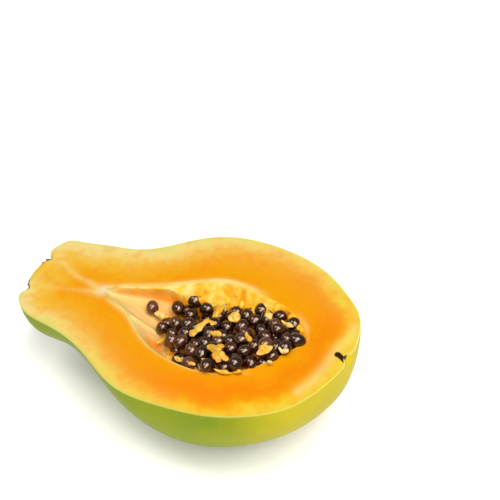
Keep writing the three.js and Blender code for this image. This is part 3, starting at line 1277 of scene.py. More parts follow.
@dataclass
class SkinShell:
    """The thin skin, from the cut edge on one side round to the other."""

    form: FruitForm
    rows: int = 190
    steps: int = 92
    end_crowding: float = 0.06
    edge_crowding: float = 0.75
    cap_shares: tuple[float, ...] = (0.02, 0.2, 0.4, 0.55, 0.68, 0.8, 0.9)
    rim_drop: float = 0.05
    inner_ground: float = 0.45
    crumb: float = 0.8
    deepest_crumb: float = -0.2
    crust: Relief = Relief(1.25, 9.0, width=3.4)  # the rough ring round the stem
    stem_scar: Relief = Relief(1.4, 8.5, width=3.2)  # its brown colour
    stem_at: float = 1.0
    stem_reach: float = 4.0
    ripe: Fade = Fade(100.0, 178.0, high=0.85)
    ripe_patches: float = 0.03
    ripe_stem: Relief = Relief(0.35, 12.0, width=6.0)
    ripe_stem_reach: float = 7.0
    far_side: Fade = Fade(-8.0, 8.0)
    rim_fade: Range = (-0.7, -0.2)  # z of the pale cut edge's fade
    rim_wider: float = 1.5  # how much lower it starts on the far side
    rim_share: Range = (0.6, 1.0)  # on the near and the far side
    pit_fade: Fade = Fade(1.8, 0.8)

    def grid(self) -> Array:
        """Lays out the outside.

        Returns:
            Its points, as rows, columns and coordinates.
        """
        even = np.linspace(0, 1, self.rows)
        rows = LAST_ROW * (even - self.end_crowding * np.sin(2 * math.pi * even))
        u = np.concatenate([np.zeros(len(self.cap_shares)), rows])
        share = np.concatenate([self.cap_shares, np.ones(self.rows)])
        even = np.linspace(0, 1, self.steps + 1)
        round_about = self.edge_crowding * crowded(self.steps + 1) + (1 - self.edge_crowding) * even
        return self.form.outside(u, share, math.pi * round_about)

    def round_stem(self, points: Array, ring: Relief) -> Array:
        """Where a ring round the stem is.

        Args:
            points: Points of the skin.
            ring: The ring.

        Returns:
            A share from 0 to 1 a point.
        """
        x, y, z = points.T
        share = np.clip(ring.rise * bump(np.hypot(y, z) - ring.radius, ring.width), 0, 1)
        return bump(x - self.stem_at, self.stem_reach) * share

    def build(self, finish: Material) -> Piece:
        """Builds the shell.

        Args:
            finish: The skin's material.

        Returns:
            The piece.
        """
        outer = self.grid()
        inner = self.form.inset(outer, SKIN_THICKNESS)
        flat = outer.reshape(-1, 3)
        crumbs = self.crumb * self.round_stem(flat, self.crust) * Ripples(31, 2.2).at(flat)
        outer[..., 0] -= np.maximum(crumbs, self.deepest_crumb).reshape(outer.shape[:2])
        rings = np.concatenate([outer, inner[:, ::-1]], axis=1)
        rings[..., 2] = np.minimum(rings[..., 2], -self.rim_drop)
        points = rings.reshape(-1, 3)
        ground = np.concatenate([np.zeros(outer.shape[1]), np.full(inner.shape[1], self.inner_ground)])
        shape = Shape(points, tube_faces(*rings.shape[:2]), ground=np.tile(ground, len(rings)))
        shape.paint = self.paint(points)
        return shape.piece("papaya_skin", finish, Slot.SKIN, HALF_NODE, crease=50)

    def paint(self, points: Array) -> dict[str, Array]:
        """What the skin's finish is driven by.

        Args:
            points: Points of the skin.

        Returns:
            How ripe it is, where its two scars are, and where its cut edge is, from 0 to 1.
        """
        x, y, z = points.T
        spot = self.form.pit
        ripe = self.ripe.at(x) + self.ripe_patches * Ripples(5, 38.0).at(points)
        beside_stem = bump(np.hypot(y, z) - self.ripe_stem.radius, self.ripe_stem.width)
        ripe += self.ripe_stem.rise * beside_stem * bump(x, self.ripe_stem_reach)
        far_side = self.far_side.at(y)
        low, high = self.rim_fade
        rim = smooth_step(z, low - self.rim_wider * far_side, high) * blend(*self.rim_share, far_side)
        pit = np.hypot(np.hypot(y - spot.y, z), x - (self.form.length + spot.rise))
        scar = self.round_stem(points, self.stem_scar)
        return {"ripe": np.clip(ripe, 0, 1), "scar": scar, "pit": self.pit_fade.at(pit), "rim": rim}


@dataclass(frozen=True)
class EdgeBands:
    """Pale bands in the cut face along the cavity's near and far edges."""

    start: Fade = Fade(38.0, 46.0)
    near_side: Range = (0.3, 0.6)  # shares of the cavity's width over which the near band takes over
    near_end: Fade = Fade(112.0, 92.0, 0.25, 1.0)
    far_end: Fade = Fade(116.0, 100.0)
    far_again: tuple[Fade, Fade] = (Fade(126.0, 134.0, high=0.4), Fade(139.0, 136.0))
    near_inwards: Fade = Fade(46.0, 58.0, -1.0, 0.6)
    near_width: Fade = Fade(84.0, 62.0, 1.1, 1.6)
    far_inwards: float = -0.7
    far_width: float = 1.4
    strength: float = 0.95

    def at(self, flat: Array, inside: Array, cavity: CavityForm) -> Array:
        """How pale the bands are.

        Args:
            flat: Points in the cut plane.
            inside: Their distances from the cavity's edge, positive inside it.
            cavity: The cavity.

        Returns:
            One value a point.
        """
        x, y = flat.T
        near_edge, far_edge = cavity.edges(x)
        width = far_edge - near_edge
        near = smooth_step(far_edge - y, *(share * width for share in self.near_side))
        far_end = self.far_end.at(x) + self.far_again[0].at(x) * self.far_again[1].at(x)
        ends = far_end * (1 - near) + self.near_end.at(x) * near
        near_band = bump(inside - self.near_inwards.at(x), self.near_width.at(x)) * near
        far_band = bump(inside - self.far_inwards, self.far_width) * (1 - near)
        return self.strength * (near_band + far_band) * self.start.at(x) * ends


@dataclass(frozen=True)
class Vein:
    """A pale thread in the cut face: its path, and its strength away from the cavity's tip."""

    path: Path
    strength: float
    widest_at: float = 39.0
    strongest_at: float = 40.0
    fade: float = 9.0
    width: Range = (1.5, 1.6)  # away from the tip, and what is added at the tip

    def at(self, flat: Array) -> Array:
        """How pale it is.

        Args:
            flat: Points in the cut plane.

        Returns:
            One value a point.
        """
        x = flat[:, 0]
        width = self.width[0] + self.width[1] * bump(x - self.widest_at, self.fade)
        strength = self.strength + (1 - self.strength) * bump(x - self.strongest_at, self.fade)
        return strength * ridge(flat, self.path, 1) ** (1 / width**2)


@dataclass
class FleshBody:
    """The flesh: the cut face with the cavity sunk into it, and a hidden underside just inside the skin."""

    form: FruitForm
    cavity: CavityForm
    drapes: Drapes
    rows: int = 310
    end_crowding: float = 0.05
    columns: tuple[int, int, int] = (30, 64, 30)  # on the near side, in the cavity and on the far side
    under_steps: int = 56
    overlap: float = 0.06
    least_cavity: float = 4.0  # width of the cavity's columns where there is no cavity
    most_cavity: float = 0.3  # half of that width at most, as a share of the cut face's
    least_side: float = 0.35  # of the cut face's width, beside the cavity's columns
    under_ground: float = 0.4
    stem_hollow: Point = (4.5, 1.0, -4.0)  # the point that the hidden stem end closes round
    hollow_size: float = 0.02
    stem_fade: Fade = Fade(12.0, 30.0)
    blossom_fade: Fade = Fade(140.0, 155.0)
    lump: float = 0.45
    lump_inwards: Fade = Fade(0.4, 2.5)
    lump_along: Fade = Fade(60.0, 80.0, 0.4, 1.0)
    rim_reach: float = 24.0  # how far in from the skin the flesh changes colour
    neck: Patch = Patch(0.0, 3.0, 11.0, strength=11.0)  # deeper flesh at the stem end
    neck_length: float = 13.0
    near_paleness: Range = (0.92, -0.0082)  # at the stem end, and its change a mm
    far_paleness: Range = (0.32, 0.0012)  # what the far side adds, likewise
    far_side: Fade = Fade(-28.0, 28.0)
    blushes: tuple[Patch, ...] = (Patch(100.0, -38.0, 12.0, long=2.4), Patch(138.0, 14.0, 16.0, strength=0.5))
    edge_bands: EdgeBands = EdgeBands()
    veins: tuple[Vein, ...] = (
        Vein(((41.0, 1.5), (35.5, -0.8), (28.7, 1.8), (21.2, 3.5), (15.1, 6.4), (8.5, 10.0)), 0.5),
        Vein(((41.0, 0.5), (35.5, -1.6), (26.4, -3.8), (16.6, -5.7), (7.0, -7.5)), 0.22),
    )
    pockets: tuple[Patch, ...] = (Patch(71.5, -17.0, 3.4), Patch(82.0, -21.5, 3.0), Patch(90.0, -25.5, 2.4))
    pocket_depth: float = 2.2
    pocket_edge: Range = (1.4, 0.7)  # shares of its radius over which a pocket's colour sets in
    septa: tuple[Path, ...] = (
        ((57.0, -10.2), (62.0, -10.0), (68.5, -9.5)),
        ((73.5, -13.0), (77.0, -17.5), (79.5, -22.5)),
    )
    septum_height: float = 1.6
    septum_width: float = 1.1
    septum_cream: float = 0.9
    septum_band: float = 1.3  # the width of a septum's pale colour
    # painted shade line along the near edge's hidden step
    crease: Mark = Mark(((39.5, -2.3), (42.0, -4.2), (45.5, -5.8), (50.0, -6.5), (55.5, -6.8)), 0.4, 0.5)
    end_band: Mark = Mark(
        (
            (155.7, 15.0), (155.5, 9.0), (153.0, 2.0), (152.0, -5.0), (151.0, -12.0), (149.0, -20.0),
            (145.5, -26.5),
        ),
        2.6, 0.6,
    )
    nick: Patch = Patch(120.7, -24.7, 0.9, long=2.2, strength=0.8)
    tip: Patch = Patch(37.0, -0.3, 2.1, wide=1.3, strength=0.9)  # where the veins meet
    spot: Path = ((154.2, -2.0), (155.6, -2.6), (158.6, -5.0))  # of the blossom scar
    spot_ends: Range = (153.0, 158.5)
    spot_widths: Range = (1.7, 0.8)
    spot_edge: Fade = Fade(1.15, 0.8)
    sunk: Fade = Fade(0.15, 0.7)  # depths over which the cavity's wall takes its colour
    trench_foot: Fade = Fade(-0.2, 0.6)  # across from the bottom
    trench_low: Fade = Fade(-0.85, -0.65)  # up from it, as a share of the depth
    salmon_end: Fade = Fade(82.0, 70.0)
    salmon_share: float = 0.9
    deep_end: Fade = Fade(82.0, 74.0)
    deep_share: float = 0.9
    tip_cream: Fade = Fade(64.0, 46.0)
    tip_cream_share: float = 0.7
    inside_edge: Fade = Fade(-0.2, 0.5)
    drape_edge: Fade = Fade(-0.3, 0.0)
    drape_colour_edge: Fade = Fade(-0.3, 0.5)
    deepest: float = 16.0  # where the lining has its last colour
    # painted shade: the height term darkens the folds' hollows and lightens the raised folds
    fold_tone: Point = (0.35, 0.22, 0.34)  # all over, what streaks add, and what height adds
    fold_ends: tuple[Fade, Fade] = (Fade(84.0, 70.0, high=0.4), Fade(108.0, 126.0, high=0.35))

    def rows_along(self) -> Array:
        """u of each row."""
        even = np.linspace(0, 1, self.rows)
        return LAST_ROW * (even - self.end_crowding * np.sin(2 * math.pi * even))

    def cut_face(self, edge_near: Array, edge_far: Array, u: Array) -> Array:
        """Points of the cut face and cavity.

        Args:
            edge_near: The flesh's near edge, one point a row.
            edge_far: Its far edge.
            u: The rows.

        Returns:
            An array of rows, columns from near to far, and coordinates.
        """
        x = self.form.along(u)
        near, far = self.cavity.edges(x)
        width = edge_far[:, 1] - edge_near[:, 1]
        half = np.minimum(np.maximum(far - near, self.least_cavity) / 2, self.most_cavity * width)
        side = self.least_side * width
        middle = np.clip((near + far) / 2, edge_near[:, 1] + side, edge_far[:, 1] - side)
        borders = np.stack([edge_near[:, 1], middle - half, middle + half, edge_far[:, 1]], axis=1)
        runs = []
        for k, count in enumerate(self.columns):
            share = crowded(count + 1)[: count + (k == 2)]
            runs.append(borders[:, k, None] + (borders[:, k + 1] - borders[:, k])[:, None] * share)
        y = np.concatenate(runs, axis=1)
        x_all = x[:, None] + self.end_relief(x[:, None], y)
        across = (y - y[:, :1]) / (y[:, -1:] - y[:, :1])
        x_all += (1 - across) * (edge_near[:, :1] - x_all[:, :1]) + across * (edge_far[:, :1] - x_all[:, -1:])
        return np.stack([x_all, y, self.cavity.floor(x_all, y)], axis=-1)

    def end_relief(self, x: Array, y: Array) -> Array:
        """The relief of both ends, fading out towards the middle of the fruit.

        Args:
            x: Where along the fruit.
            y: Where across it.

        Returns:
            How far points move along x.
        """
        stem = self.form.stem_relief(np.abs(y)) * (1 - self.stem_fade.at(x))
        blossom = self.form.pit_relief(y, np.zeros_like(y)) * self.blossom_fade.at(x)
        return stem + blossom

    def carve(self, points: Array) -> Array:
        """Adds lumps, folds of pulp, pockets and septa to the cavity.

        Args:
            points: Points of the cut face and cavity.

        Returns:
            The points with their new heights.
        """
        flat = points[:, :2]
        x, y = flat.T
        inside = self.inside(flat)
        carved = points.copy()
        well_in = self.lump_inwards.at(inside)
        waves = Ripples(11, 7.0).at(points * (0.55, 1, 1)) + 0.5 * Ripples(12, 3.2).at(points * (0.4, 1, 1))
        waves *= self.lump_along.at(x)
        carved[:, 2] += self.lump * well_in * waves
        gap = self.drapes.gap(flat)
        covered = self.drapes.share(flat, gap) * self.drape_edge.at(inside)
        raised = np.maximum(carved[:, 2], self.drapes.height(flat, gap))
        carved[:, 2] += (raised - carved[:, 2]) * covered
        for pocket in self.pockets:
            carved[:, 2] -= self.pocket_depth * well_in * pocket.at(x, y)
        for path in self.septa:
            carved[:, 2] += self.septum_height * well_in * ridge(flat, path, self.septum_width)
        carved[:, 2] -= self.nick.at(x, y)
        carved[:, 2] = np.minimum(carved[:, 2], 0)
        return carved

    def inside(self, flat: Array) -> Array:
        """Measures how far points are from the cavity's edge.

        Args:
            flat: Points in the cut plane.

        Returns:
            Their distances, positive inside the cavity.
        """
        x, y = flat.T
        near, far = self.cavity.edges(x)
        within = (y > near) & (y < far) & (x > self.cavity.start) & (x < self.cavity.end)
        distance = distance_to_path(flat, self.cavity.outline())
        return np.where(within, distance, -distance)

    def trench(self, points: Array, inside: Array) -> Array:
        """Where the steep far wall's foot is, beside the cavity's bottom.

        Args:
            points: Points of the cut face and cavity.
            inside: Their distances from the cavity's edge.

        Returns:
            A share from 0 to 1 a point.
        """
        x, y, z = points.T
        bottom = self.cavity.bottom(x)
        depth = np.maximum(-self.cavity.floor(x, bottom), 1.0)
        return self.trench_foot.at(y - bottom) * self.trench_low.at(z / depth) * (inside > 0)

    def cream(self, flat: Array, inside: Array) -> Array:
        """How pale the bands, veins and septa are.

        Args:
            flat: Points in the cut plane.
            inside: Their distances from the cavity's edge.

        Returns:
            One value a point.
        """
        marks = [self.edge_bands.at(flat, inside, self.cavity)]
        marks += [vein.at(flat) for vein in self.veins]
        marks += [self.end_band.at(flat)]
        marks += [self.septum_cream * ridge(flat, path, self.septum_band) for path in self.septa]
        return np.maximum.reduce(marks)

    def fold(self, points: Array, gap: Array) -> Array:
        """The tone of the pulp's folds, with painted shade: darker in their hollows and paler where they
        stand out.

        Args:
            points: Points of the cut face and cavity.
            gap: Their distances from the cavity's far edge.

        Returns:
            One value a point.
        """
        x, _, z = points.T
        down_wall = np.stack([x, 0.4 * gap, 0 * x], axis=1)
        streaks = Ripples(16, 6.0).at(down_wall) + 0.5 * Ripples(17, 2.6).at(points)
        base, streaked, raised = self.fold_tone
        # painted shade by height: the hollows get a darker, more orange tone
        tone = base + streaked * streaks + raised * (z + self.drapes.fall(x, gap))
        return tone + self.fold_ends[0].at(x) - self.fold_ends[1].at(x)

    def paint(self, points: Array, rim: Array) -> dict[str, Array]:
        """What the flesh's finish is driven by.

        Args:
            points: Points of the cut face and cavity.
            rim: The flesh's outline in the cut plane.

        Returns:
            Values from 0 to 1 for each painted key.
        """
        flat = points[:, :2]
        x, y, z = points.T
        inside = self.inside(flat)
        pale, change = self.near_paleness
        far_pale, far_change = self.far_paleness
        neck = self.neck.strength * bump(x, self.neck_length) * bump(y - self.neck.y, self.neck.radius)
        trench = self.trench(points, inside)
        sunk = self.sunk.at(-z)
        salmon = self.salmon_share * sunk * (1 - trench) * self.salmon_end.at(x)
        tip_cream = self.tip_cream_share * salmon * self.tip_cream.at(x)
        deep = [self.deep_share * trench * sunk * self.deep_end.at(x), self.nick.at(x, y)]
        for pocket in self.pockets:
            edge = (share * pocket.radius for share in self.pocket_edge)
            deep.append(smooth_step(pocket.distance(x, y), *edge) * sunk)
        gap = self.drapes.gap(flat)
        drape = self.drapes.share(flat, gap) * self.drape_colour_edge.at(inside)
        spot = distance_to_path(flat, np.array(self.spot)) / np.interp(x, self.spot_ends, self.spot_widths)
        painted = {
            "rim": (distance_to_path(flat, rim) + neck) / self.rim_reach,
            "pale": (pale + change * x) + (far_pale + far_change * x) * self.far_side.at(y),
            "blush": sum(patch.at(x, y) for patch in self.blushes),
            "inside": self.inside_edge.at(inside),
            "depth": -z / self.deepest,
            "drape": drape,
            "fold": self.fold(points, gap),
            "cream": np.maximum(self.cream(flat, inside), tip_cream),
            "salmon": salmon,
            "deep": np.maximum.reduce(deep) * (1 - drape),
            # the painted shade line along the near edge
            "crease": self.crease.at(flat),
            "tip": self.tip.at(x, y),
            "scar": self.spot_edge.at(spot),
        }
        return {key: np.clip(values, 0, 1) for key, values in painted.items()}

    def build(self, finish: Material) -> Piece:
        """Builds the flesh.

        Args:
            finish: The flesh's material.

        Returns:
            The piece.
        """
        u = self.rows_along()
        outside = self.form.outside(u, np.ones_like(u), np.linspace(0, math.pi, self.under_steps + 1))
        under = self.form.inset(outside, SKIN_THICKNESS - self.overlap)
        face = self.cut_face(under[:, 0], under[:, -1], u)
        columns = face.shape[1]
        flat_face = self.carve(face.reshape(-1, 3))
        rim = np.concatenate([under[:, 0, :2], under[::-1, -1, :2], under[:1, 0, :2]])
        top = flat_face.reshape(len(u), columns, 3)[:, ::-1]
        rings = np.concatenate([top, under[:, 1:-1]], axis=1)
        hollow = self.stem_hollow + self.hollow_size * (rings[:1] - self.stem_hollow)
        rings = np.concatenate([hollow, rings])
        rows, size = rings.shape[:2]
        shape = Shape(rings.reshape(-1, 3), tube_faces(rows, size))
        for key, values in self.paint(flat_face, rim).items():
            whole = np.zeros((rows, size))
            whole[1:, :columns] = values.reshape(len(u), columns)[:, ::-1]
            whole[0] = whole[1]
            shape.paint[key] = whole.ravel()
        ground = np.zeros((rows, size))
        ground[:, columns:] = self.under_ground
        shape.ground = ground.ravel()
        return shape.piece("papaya_flesh", finish, Slot.FLESH, HALF_NODE, crease=45)


@dataclass
class SeedHeap:
    """The seeds that lie in the cavity, on a core of seeds and pulp that shows only in the gaps."""

    cavity: CavityForm
    heap: HeapForm
    form: FruitForm
    diameter: float = 6.2
    apart: float = 5.6  # between the centres of two seeds that touch; the jelly gives a little
    bed_depth: float = 8.5  # how far under the heap's surface the lowest seeds lie
    highest: float = 1.6  # how far above that surface a seed's centre may come to lie
    drops: int = 700
    tries: int = 9
    clearance: float = 0.35
    floor_width: float = 0.85  # the part of a seed's width that rests on the floor
    lone_seed: Range = (61.5, 1.0)  # its x and y
    seeds_from: float = 65.0  # where the seeds after the lone one start
    bare_width: float = 11.0  # of the near wall beside the edge, narrowing over bare_narrows
    bare_narrows: Range = (68.0, 100.0)
    far_bare_width: float = 14.0  # of the far wall, likewise
    far_bare_narrows: Range = (67.0, 71.0)
    size_range: Range = (0.96, 1.1)
    length_range: Range = (1.06, 1.18)
    width_range: Range = (0.97, 1.02)
    height: float = 0.94
    taper: float = 0.10
    dent: float = 0.015
    dent_scale: float = 0.9
    apart_in_ripples: float = 500.0  # so that no two seeds have the same dents
    most_tilt: float = 0.6
    full_turn: float = 6.28
    veil_power: float = 2.5  # keeps most seeds clear
    # painted highlight: the milky patches grow towards each seed's top, where the lights fall
    veil_on_top: float = 0.15
    seed_rows: int = 13
    seed_steps: int = 20
    core_rows: int = 90
    core_columns: int = 46
    core_ends: Range = (2.5, 2.0)  # how far the core keeps from the heap's start and the cavity's end
    core_inset: float = 0.8
    core_clearance: float = 0.5
    core_sink: float = 0.62  # how far the core lies under the heap's surface, in seeds
    core_relief: float = 0.7
    core_overlap: float = 0.8
    core_depth: float = 9.0  # over which the core turns from pale to deep
    core_tone: float = 0.75

    def places(self) -> Array:
        """Drops the seeds, each where it comes to lie lowest of a few tries.

        Returns:
            Their centres.
        """
        draws = SeededDraws(7)
        radius = self.diameter / 2
        beside = self.floor_width * radius
        span = self.form.near[6]

        def floor(x: float, y: float) -> float:
            """Height of the cavity's floor at x and y."""
            return float(self.cavity.floor(np.array(x), np.array(y), self.clearance))

        x, y = self.lone_seed
        placed = [(x, y, floor(x, y) + radius)]
        for _ in range(self.drops):
            best, best_rise = None, self.highest
            for _ in range(self.tries):
                x = self.seeds_from + (self.heap.end - self.seeds_from) * draws.draw()
                y = draws.either(span)
                near, far = self.cavity.edges(np.array(x), self.clearance)
                bare = self.bare_width * (1 - smooth_step(x, *self.bare_narrows))
                far_bare = self.far_bare_width * (1 - smooth_step(x, *self.far_bare_narrows))
                if min(y - near - bare, far - y - far_bare) < radius / 2:
                    continue
                level = float(self.heap.level(np.array(x), np.array(y)))
                bed = max(level - self.bed_depth, floor(x, y)) + radius
                z = max(bed, floor(x, y - beside), floor(x, y + beside))
                at = np.array(placed)
                gap = self.apart**2 - (at[:, 0] - x) ** 2 - (at[:, 1] - y) ** 2
                touching = gap > 0
                if touching.any():
                    z = max(z, float((at[touching, 2] + np.sqrt(gap[touching])).max()))
                if z - level < best_rise:
                    best, best_rise = (x, y, z), z - level
            if best:
                placed.append(best)
        return np.array(placed)

    def seed(self, place: Array, draw: np.random.Generator, ripples: Ripples) -> Shape:
        """One seed: an egg with shallow dents, in its jelly.

        Args:
            place: Its centre.
            draw: The random draws.
            ripples: The relief of its surface.

        Returns:
            The seed's shape.
        """
        unit, faces = ball(self.seed_rows, self.seed_steps)
        radius = self.diameter / 2
        egg = unit * (draw.uniform(*self.length_range), draw.uniform(*self.width_range), self.height)
        egg *= draw.uniform(*self.size_range)
        egg[:, 1:] *= 1 - self.taper * unit[:, :1]
        local = egg * radius
        shift = draw.uniform(-self.apart_in_ripples, self.apart_in_ripples, 3)
        local *= 1 + self.dent * ripples.at(local * self.dent_scale + shift)[:, None]
        roll, tilt = draw.uniform(0, self.full_turn), draw.uniform(-self.most_tilt, self.most_tilt)
        local = turned(local, roll, tilt, draw.uniform(0, self.full_turn))
        shape = toned(local + place, faces, draw.random())
        # painted highlight: lighter towards the top of the seed
        veil = draw.random() ** self.veil_power + self.veil_on_top * local[:, 2] / radius
        shape.paint["veil"] = np.clip(veil, 0, 1)
        return shape

    def build_seeds(self, finish: Material) -> Piece:
        """Builds all seeds as one piece.

        Args:
            finish: The seeds' material.

        Returns:
            The piece.
        """
        draw = np.random.default_rng(19)
        ripples = Ripples(23, 4.0)
        seeds = [self.seed(place, draw, ripples) for place in self.places()]
        log.info("%d seeds", len(seeds))
        return Shape.joined(seeds).piece("papaya_seeds", finish, Slot.SEEDS, HEAP_NODE)

    def build_core(self, finish: Material) -> Piece:
        """Builds the body of pulp that the seeds lie in.

        Args:
            finish: The core's material.

        Returns:
            The piece.
        """
        start, end = self.core_ends
        length = self.cavity.end - self.heap.start - start - end
        x = self.heap.start + start + length * crowded(self.core_rows)
        near, far = self.cavity.edges(x, self.core_inset)
        y = near[:, None] + (far - near)[:, None] * crowded(self.core_columns)[None]
        grid_x = np.repeat(x[:, None], self.core_columns, axis=1)
        floor = self.cavity.floor(grid_x, y, self.core_clearance)
        level = self.heap.level(grid_x, y) - self.diameter * self.core_sink
        flat = np.stack([grid_x, y, level], axis=-1).reshape(-1, 3)
        level = level + self.core_relief * Ripples(41, 5.0).at(flat).reshape(level.shape)
        top = np.stack([grid_x, y, level], axis=-1)
        under = np.stack([grid_x, y, np.minimum(floor, level) - self.core_overlap], axis=-1)
        rings = np.concatenate([top, under[:, ::-1]], axis=1)
        from_wall = np.clip((level - floor) / self.core_depth, 0, 1)
        tone = 1 - self.core_tone * np.concatenate([from_wall, from_wall[:, ::-1]], axis=1)
        shape = Shape(rings.reshape(-1, 3), tube_faces(*rings.shape[:2]), {"tone": tone.ravel()})
        return shape.piece("seed_bed", finish, Slot.PULP, HEAP_NODE)


@dataclass(frozen=True)
class Scrap:
    """A scrap of pulp: its place on the heap, its size and how it is turned and bent."""

    x: float
    y: float
    length: float
    width: float
    turn: float
    bend: float = 0.0
    thick: float = 2.2
    up: float = 3.2
    tone: float = 0.5
    corners: float = 1.4  # 1 gives a diamond, 2 an ellipse and more a box
    tilt: float = 0.0


@dataclass(frozen=True)
class Band:
    """A band of pulp: its path as x, y and height above the heap's surface, its width and its tone."""

    path: tuple[Point, ...]
    width: float
    tone: float


@dataclass
class Pulp:
    """Loose scraps and bands of pulp among the seeds, and the lumps and strands on the cavity's far wall."""

    cavity: CavityForm
    heap: HeapForm
    drapes: Drapes
    scraps: tuple[Scrap, ...] = (
        Scrap(66.2, -1.2, 6.2, 3.0, -0.4, corners=2.2, thick=1.8, tone=0.7, up=2.2),
        Scrap(102.7, 3.6, 6.4, 5.6, 0.6, corners=1.3, up=4.2, tone=0.62, tilt=0.3),
        Scrap(124.6, -13.2, 7.0, 4.4, 1.0, corners=2.4, up=3.6, tone=0.5, tilt=0.2),
        Scrap(132.0, -9.5, 4.6, 3.6, -0.3, corners=1.5, up=2.8, tone=1.0),
        Scrap(129.0, -17.2, 2.6, 2.0, 0.2, up=2.4, tone=0.9),
        Scrap(115.0, -8.2, 5.0, 2.6, -0.6, up=3.0, tone=0.35),
        Scrap(99.5, -9.2, 6.4, 2.8, 0.05, bend=0.4, up=3.0, tone=0.35),
        Scrap(73.5, -13.8, 5.4, 2.2, 1.3, corners=2.0, thick=1.6, up=1.2, tone=0.5),
        Scrap(103.5, -26.5, 4.6, 2.8, -0.1, up=2.3, tone=0.15),
        Scrap(116.5, 10.0, 6.0, 3.4, -0.9, bend=0.5, up=2.8, tone=0.6),
        Scrap(127.8, 6.0, 5.6, 2.8, -0.2, up=2.8, tone=0.75),
        Scrap(91.8, 7.5, 9.5, 3.8, 1.5, corners=2.0, up=2.4, tone=0.5),
        Scrap(88.0, -25.5, 5.0, 2.2, -0.45, up=0.6, thick=1.4, tone=0.6),
        Scrap(95.5, -27.3, 6.0, 2.4, -0.2, up=0.4, thick=1.4, tone=0.45),
        Scrap(112.0, -28.3, 7.0, 2.2, 0.1, up=0.3, thick=1.2, tone=0.5),
        Scrap(118.0, -26.0, 4.6, 2.0, 0.5, up=0.4, thick=1.2, tone=0.4),
    )
    bands: tuple[Band, ...] = (
        Band(
            ((87.8, -9.9, 2.2), (89.3, -9.1, 3.4), (91.0, -5.4, 4.8), (93.0, -3.0, 5.2), (95.8, -3.6, 3.6)),
            width=3.2, tone=0.45,
        ),
        Band(((87.0, -11.5, 2.4), (88.6, -9.6, 3.0), (89.8, -7.6, 3.0)), width=4.2, tone=0.4),
        Band(
            ((99.6, -18.0, 3.6), (104.3, -20.0, 4.4), (108.5, -22.3, 4.0), (112.4, -23.8, 3.4)),
            width=3.8, tone=0.5,
        ),
        Band(
            ((106.4, -15.6, 3.4), (105.0, -19.5, 4.4), (106.8, -23.0, 4.0), (109.0, -26.0, 3.2)),
            width=4.2, tone=0.3,
        ),
    )
    ripples: Ripples = field(default_factory=lambda: Ripples(51, 4.5))
    fine_ripples: Ripples = field(default_factory=lambda: Ripples(57, 2.4))
    outline_relief: Range = (0.10, 0.06)  # of a scrap's outline, coarse and fine
    top_relief: Range = (0.3, 0.15)
    wall_lumps: int = 11
    wall_strands: int = 5
    wall_from: float = 78.0  # where the far wall's lumps and strands start
    wall_length: float = 56.0
    lump_sizes: tuple[Range, Range, Range] = ((2.5, 5.0), (3.0, 6.5), (0.8, 1.3))
    lump_turn: float = 0.5
    lump_gap: float = 1.2  # from the cut edge
    lump_up: float = -0.22  # of its thickness
    lump_relief: float = 0.3
    lump_tone: Range = (0.2, 0.5)
    lump_deepens: Fade = Fade(106.0, 124.0, high=0.3)
    highest: float = -0.12  # z under which the lumps stay
    strand_lean: Range = (-2.0, 2.0)
    strand_radius: Range = (0.6, 1.0)
    strand_tone: Range = (0.15, 0.35)
    strand_inset: float = 0.9
    strand_short: float = 0.6  # how far it ends before the pulp does
    strand_up: float = -0.3  # of its radius
    strand_section: Range = (1.5, 0.5)  # its width and thickness, in radii
    highest_strand: float = -0.1
    band_relief: float = 0.20
    band_thick: float = 0.32  # of its width

    def scrap(self, scrap: Scrap) -> Shape:
        """Shapes one scrap.

        Args:
            scrap: Its sizes.

        Returns:
            The scrap's shape.
        """
        unit, faces = ball(22, 40)
        unit = unit[:, [1, 2, 0]]
        turn = np.arctan2(unit[:, 1], unit[:, 0])
        corners = scrap.corners
        reach = (np.abs(np.cos(turn)) ** corners + np.abs(np.sin(turn)) ** corners) ** (-1 / corners)
        local = unit * (scrap.length / 2, scrap.width / 2, scrap.thick / 2)
        local[:, :2] *= reach[:, None]
        seat = local + (scrap.x, scrap.y, 0)
        coarse, fine = self.outline_relief
        local[:, :2] *= (1 + coarse * self.ripples.at(seat) + fine * self.fine_ripples.at(seat))[:, None]
        coarse, fine = self.top_relief
        local[:, 2] += coarse * self.ripples.at(seat * (1, 1, 0)) + fine * self.fine_ripples.at(seat)
        if scrap.bend:
            radius = scrap.length / scrap.bend
            angle = local[:, 0] / radius
            arm = radius - local[:, 1]
            local = np.stack([arm * np.sin(angle), radius - arm * np.cos(angle), local[:, 2]], axis=1)
        local = turned(local, scrap.tilt, 0.0, scrap.turn)
        x, y = np.array(scrap.x), np.array(scrap.y)
        centre = (scrap.x, scrap.y, float(self.heap.level(x, y)) + scrap.up)
        return toned(local + centre, faces, scrap.tone)

    def wall_lump(self, x: float, draw: np.random.Generator) -> Shape:
        """One soft lump, half sunk in the pulp on the far wall.

        Args:
            x: Its place along the cavity.
            draw: The random draws.

        Returns:
            The lump's shape.
        """
        unit, faces = ball(16, 14)
        size = np.array([draw.uniform(*sizes) for sizes in self.lump_sizes])
        slope = math.atan(self.drapes.slopes[-1])
        local = turned(unit * size / 2, slope, 0.0, draw.uniform(-self.lump_turn, self.lump_turn))
        gap = draw.uniform(self.lump_gap, float(self.drapes.width(np.array(x))))
        _, far = self.cavity.edges(np.array(x))
        points = local + self.on_drapes(x, float(far) - gap, self.lump_up * size[2])
        points += self.lump_relief * self.ripples.at(points)[:, None] * unit
        points[:, 2] = np.minimum(points[:, 2], self.highest)
        return toned(points, faces, draw.uniform(*self.lump_tone) - float(self.lump_deepens.at(np.array(x))))

    def on_drapes(self, x: float, y: float, up: float) -> Array:
        """A point at a height above the pulp on the far wall."""
        flat = np.array([[x, y]])
        return np.array([x, y, float(self.drapes.height(flat, self.drapes.gap(flat))[0]) + up])

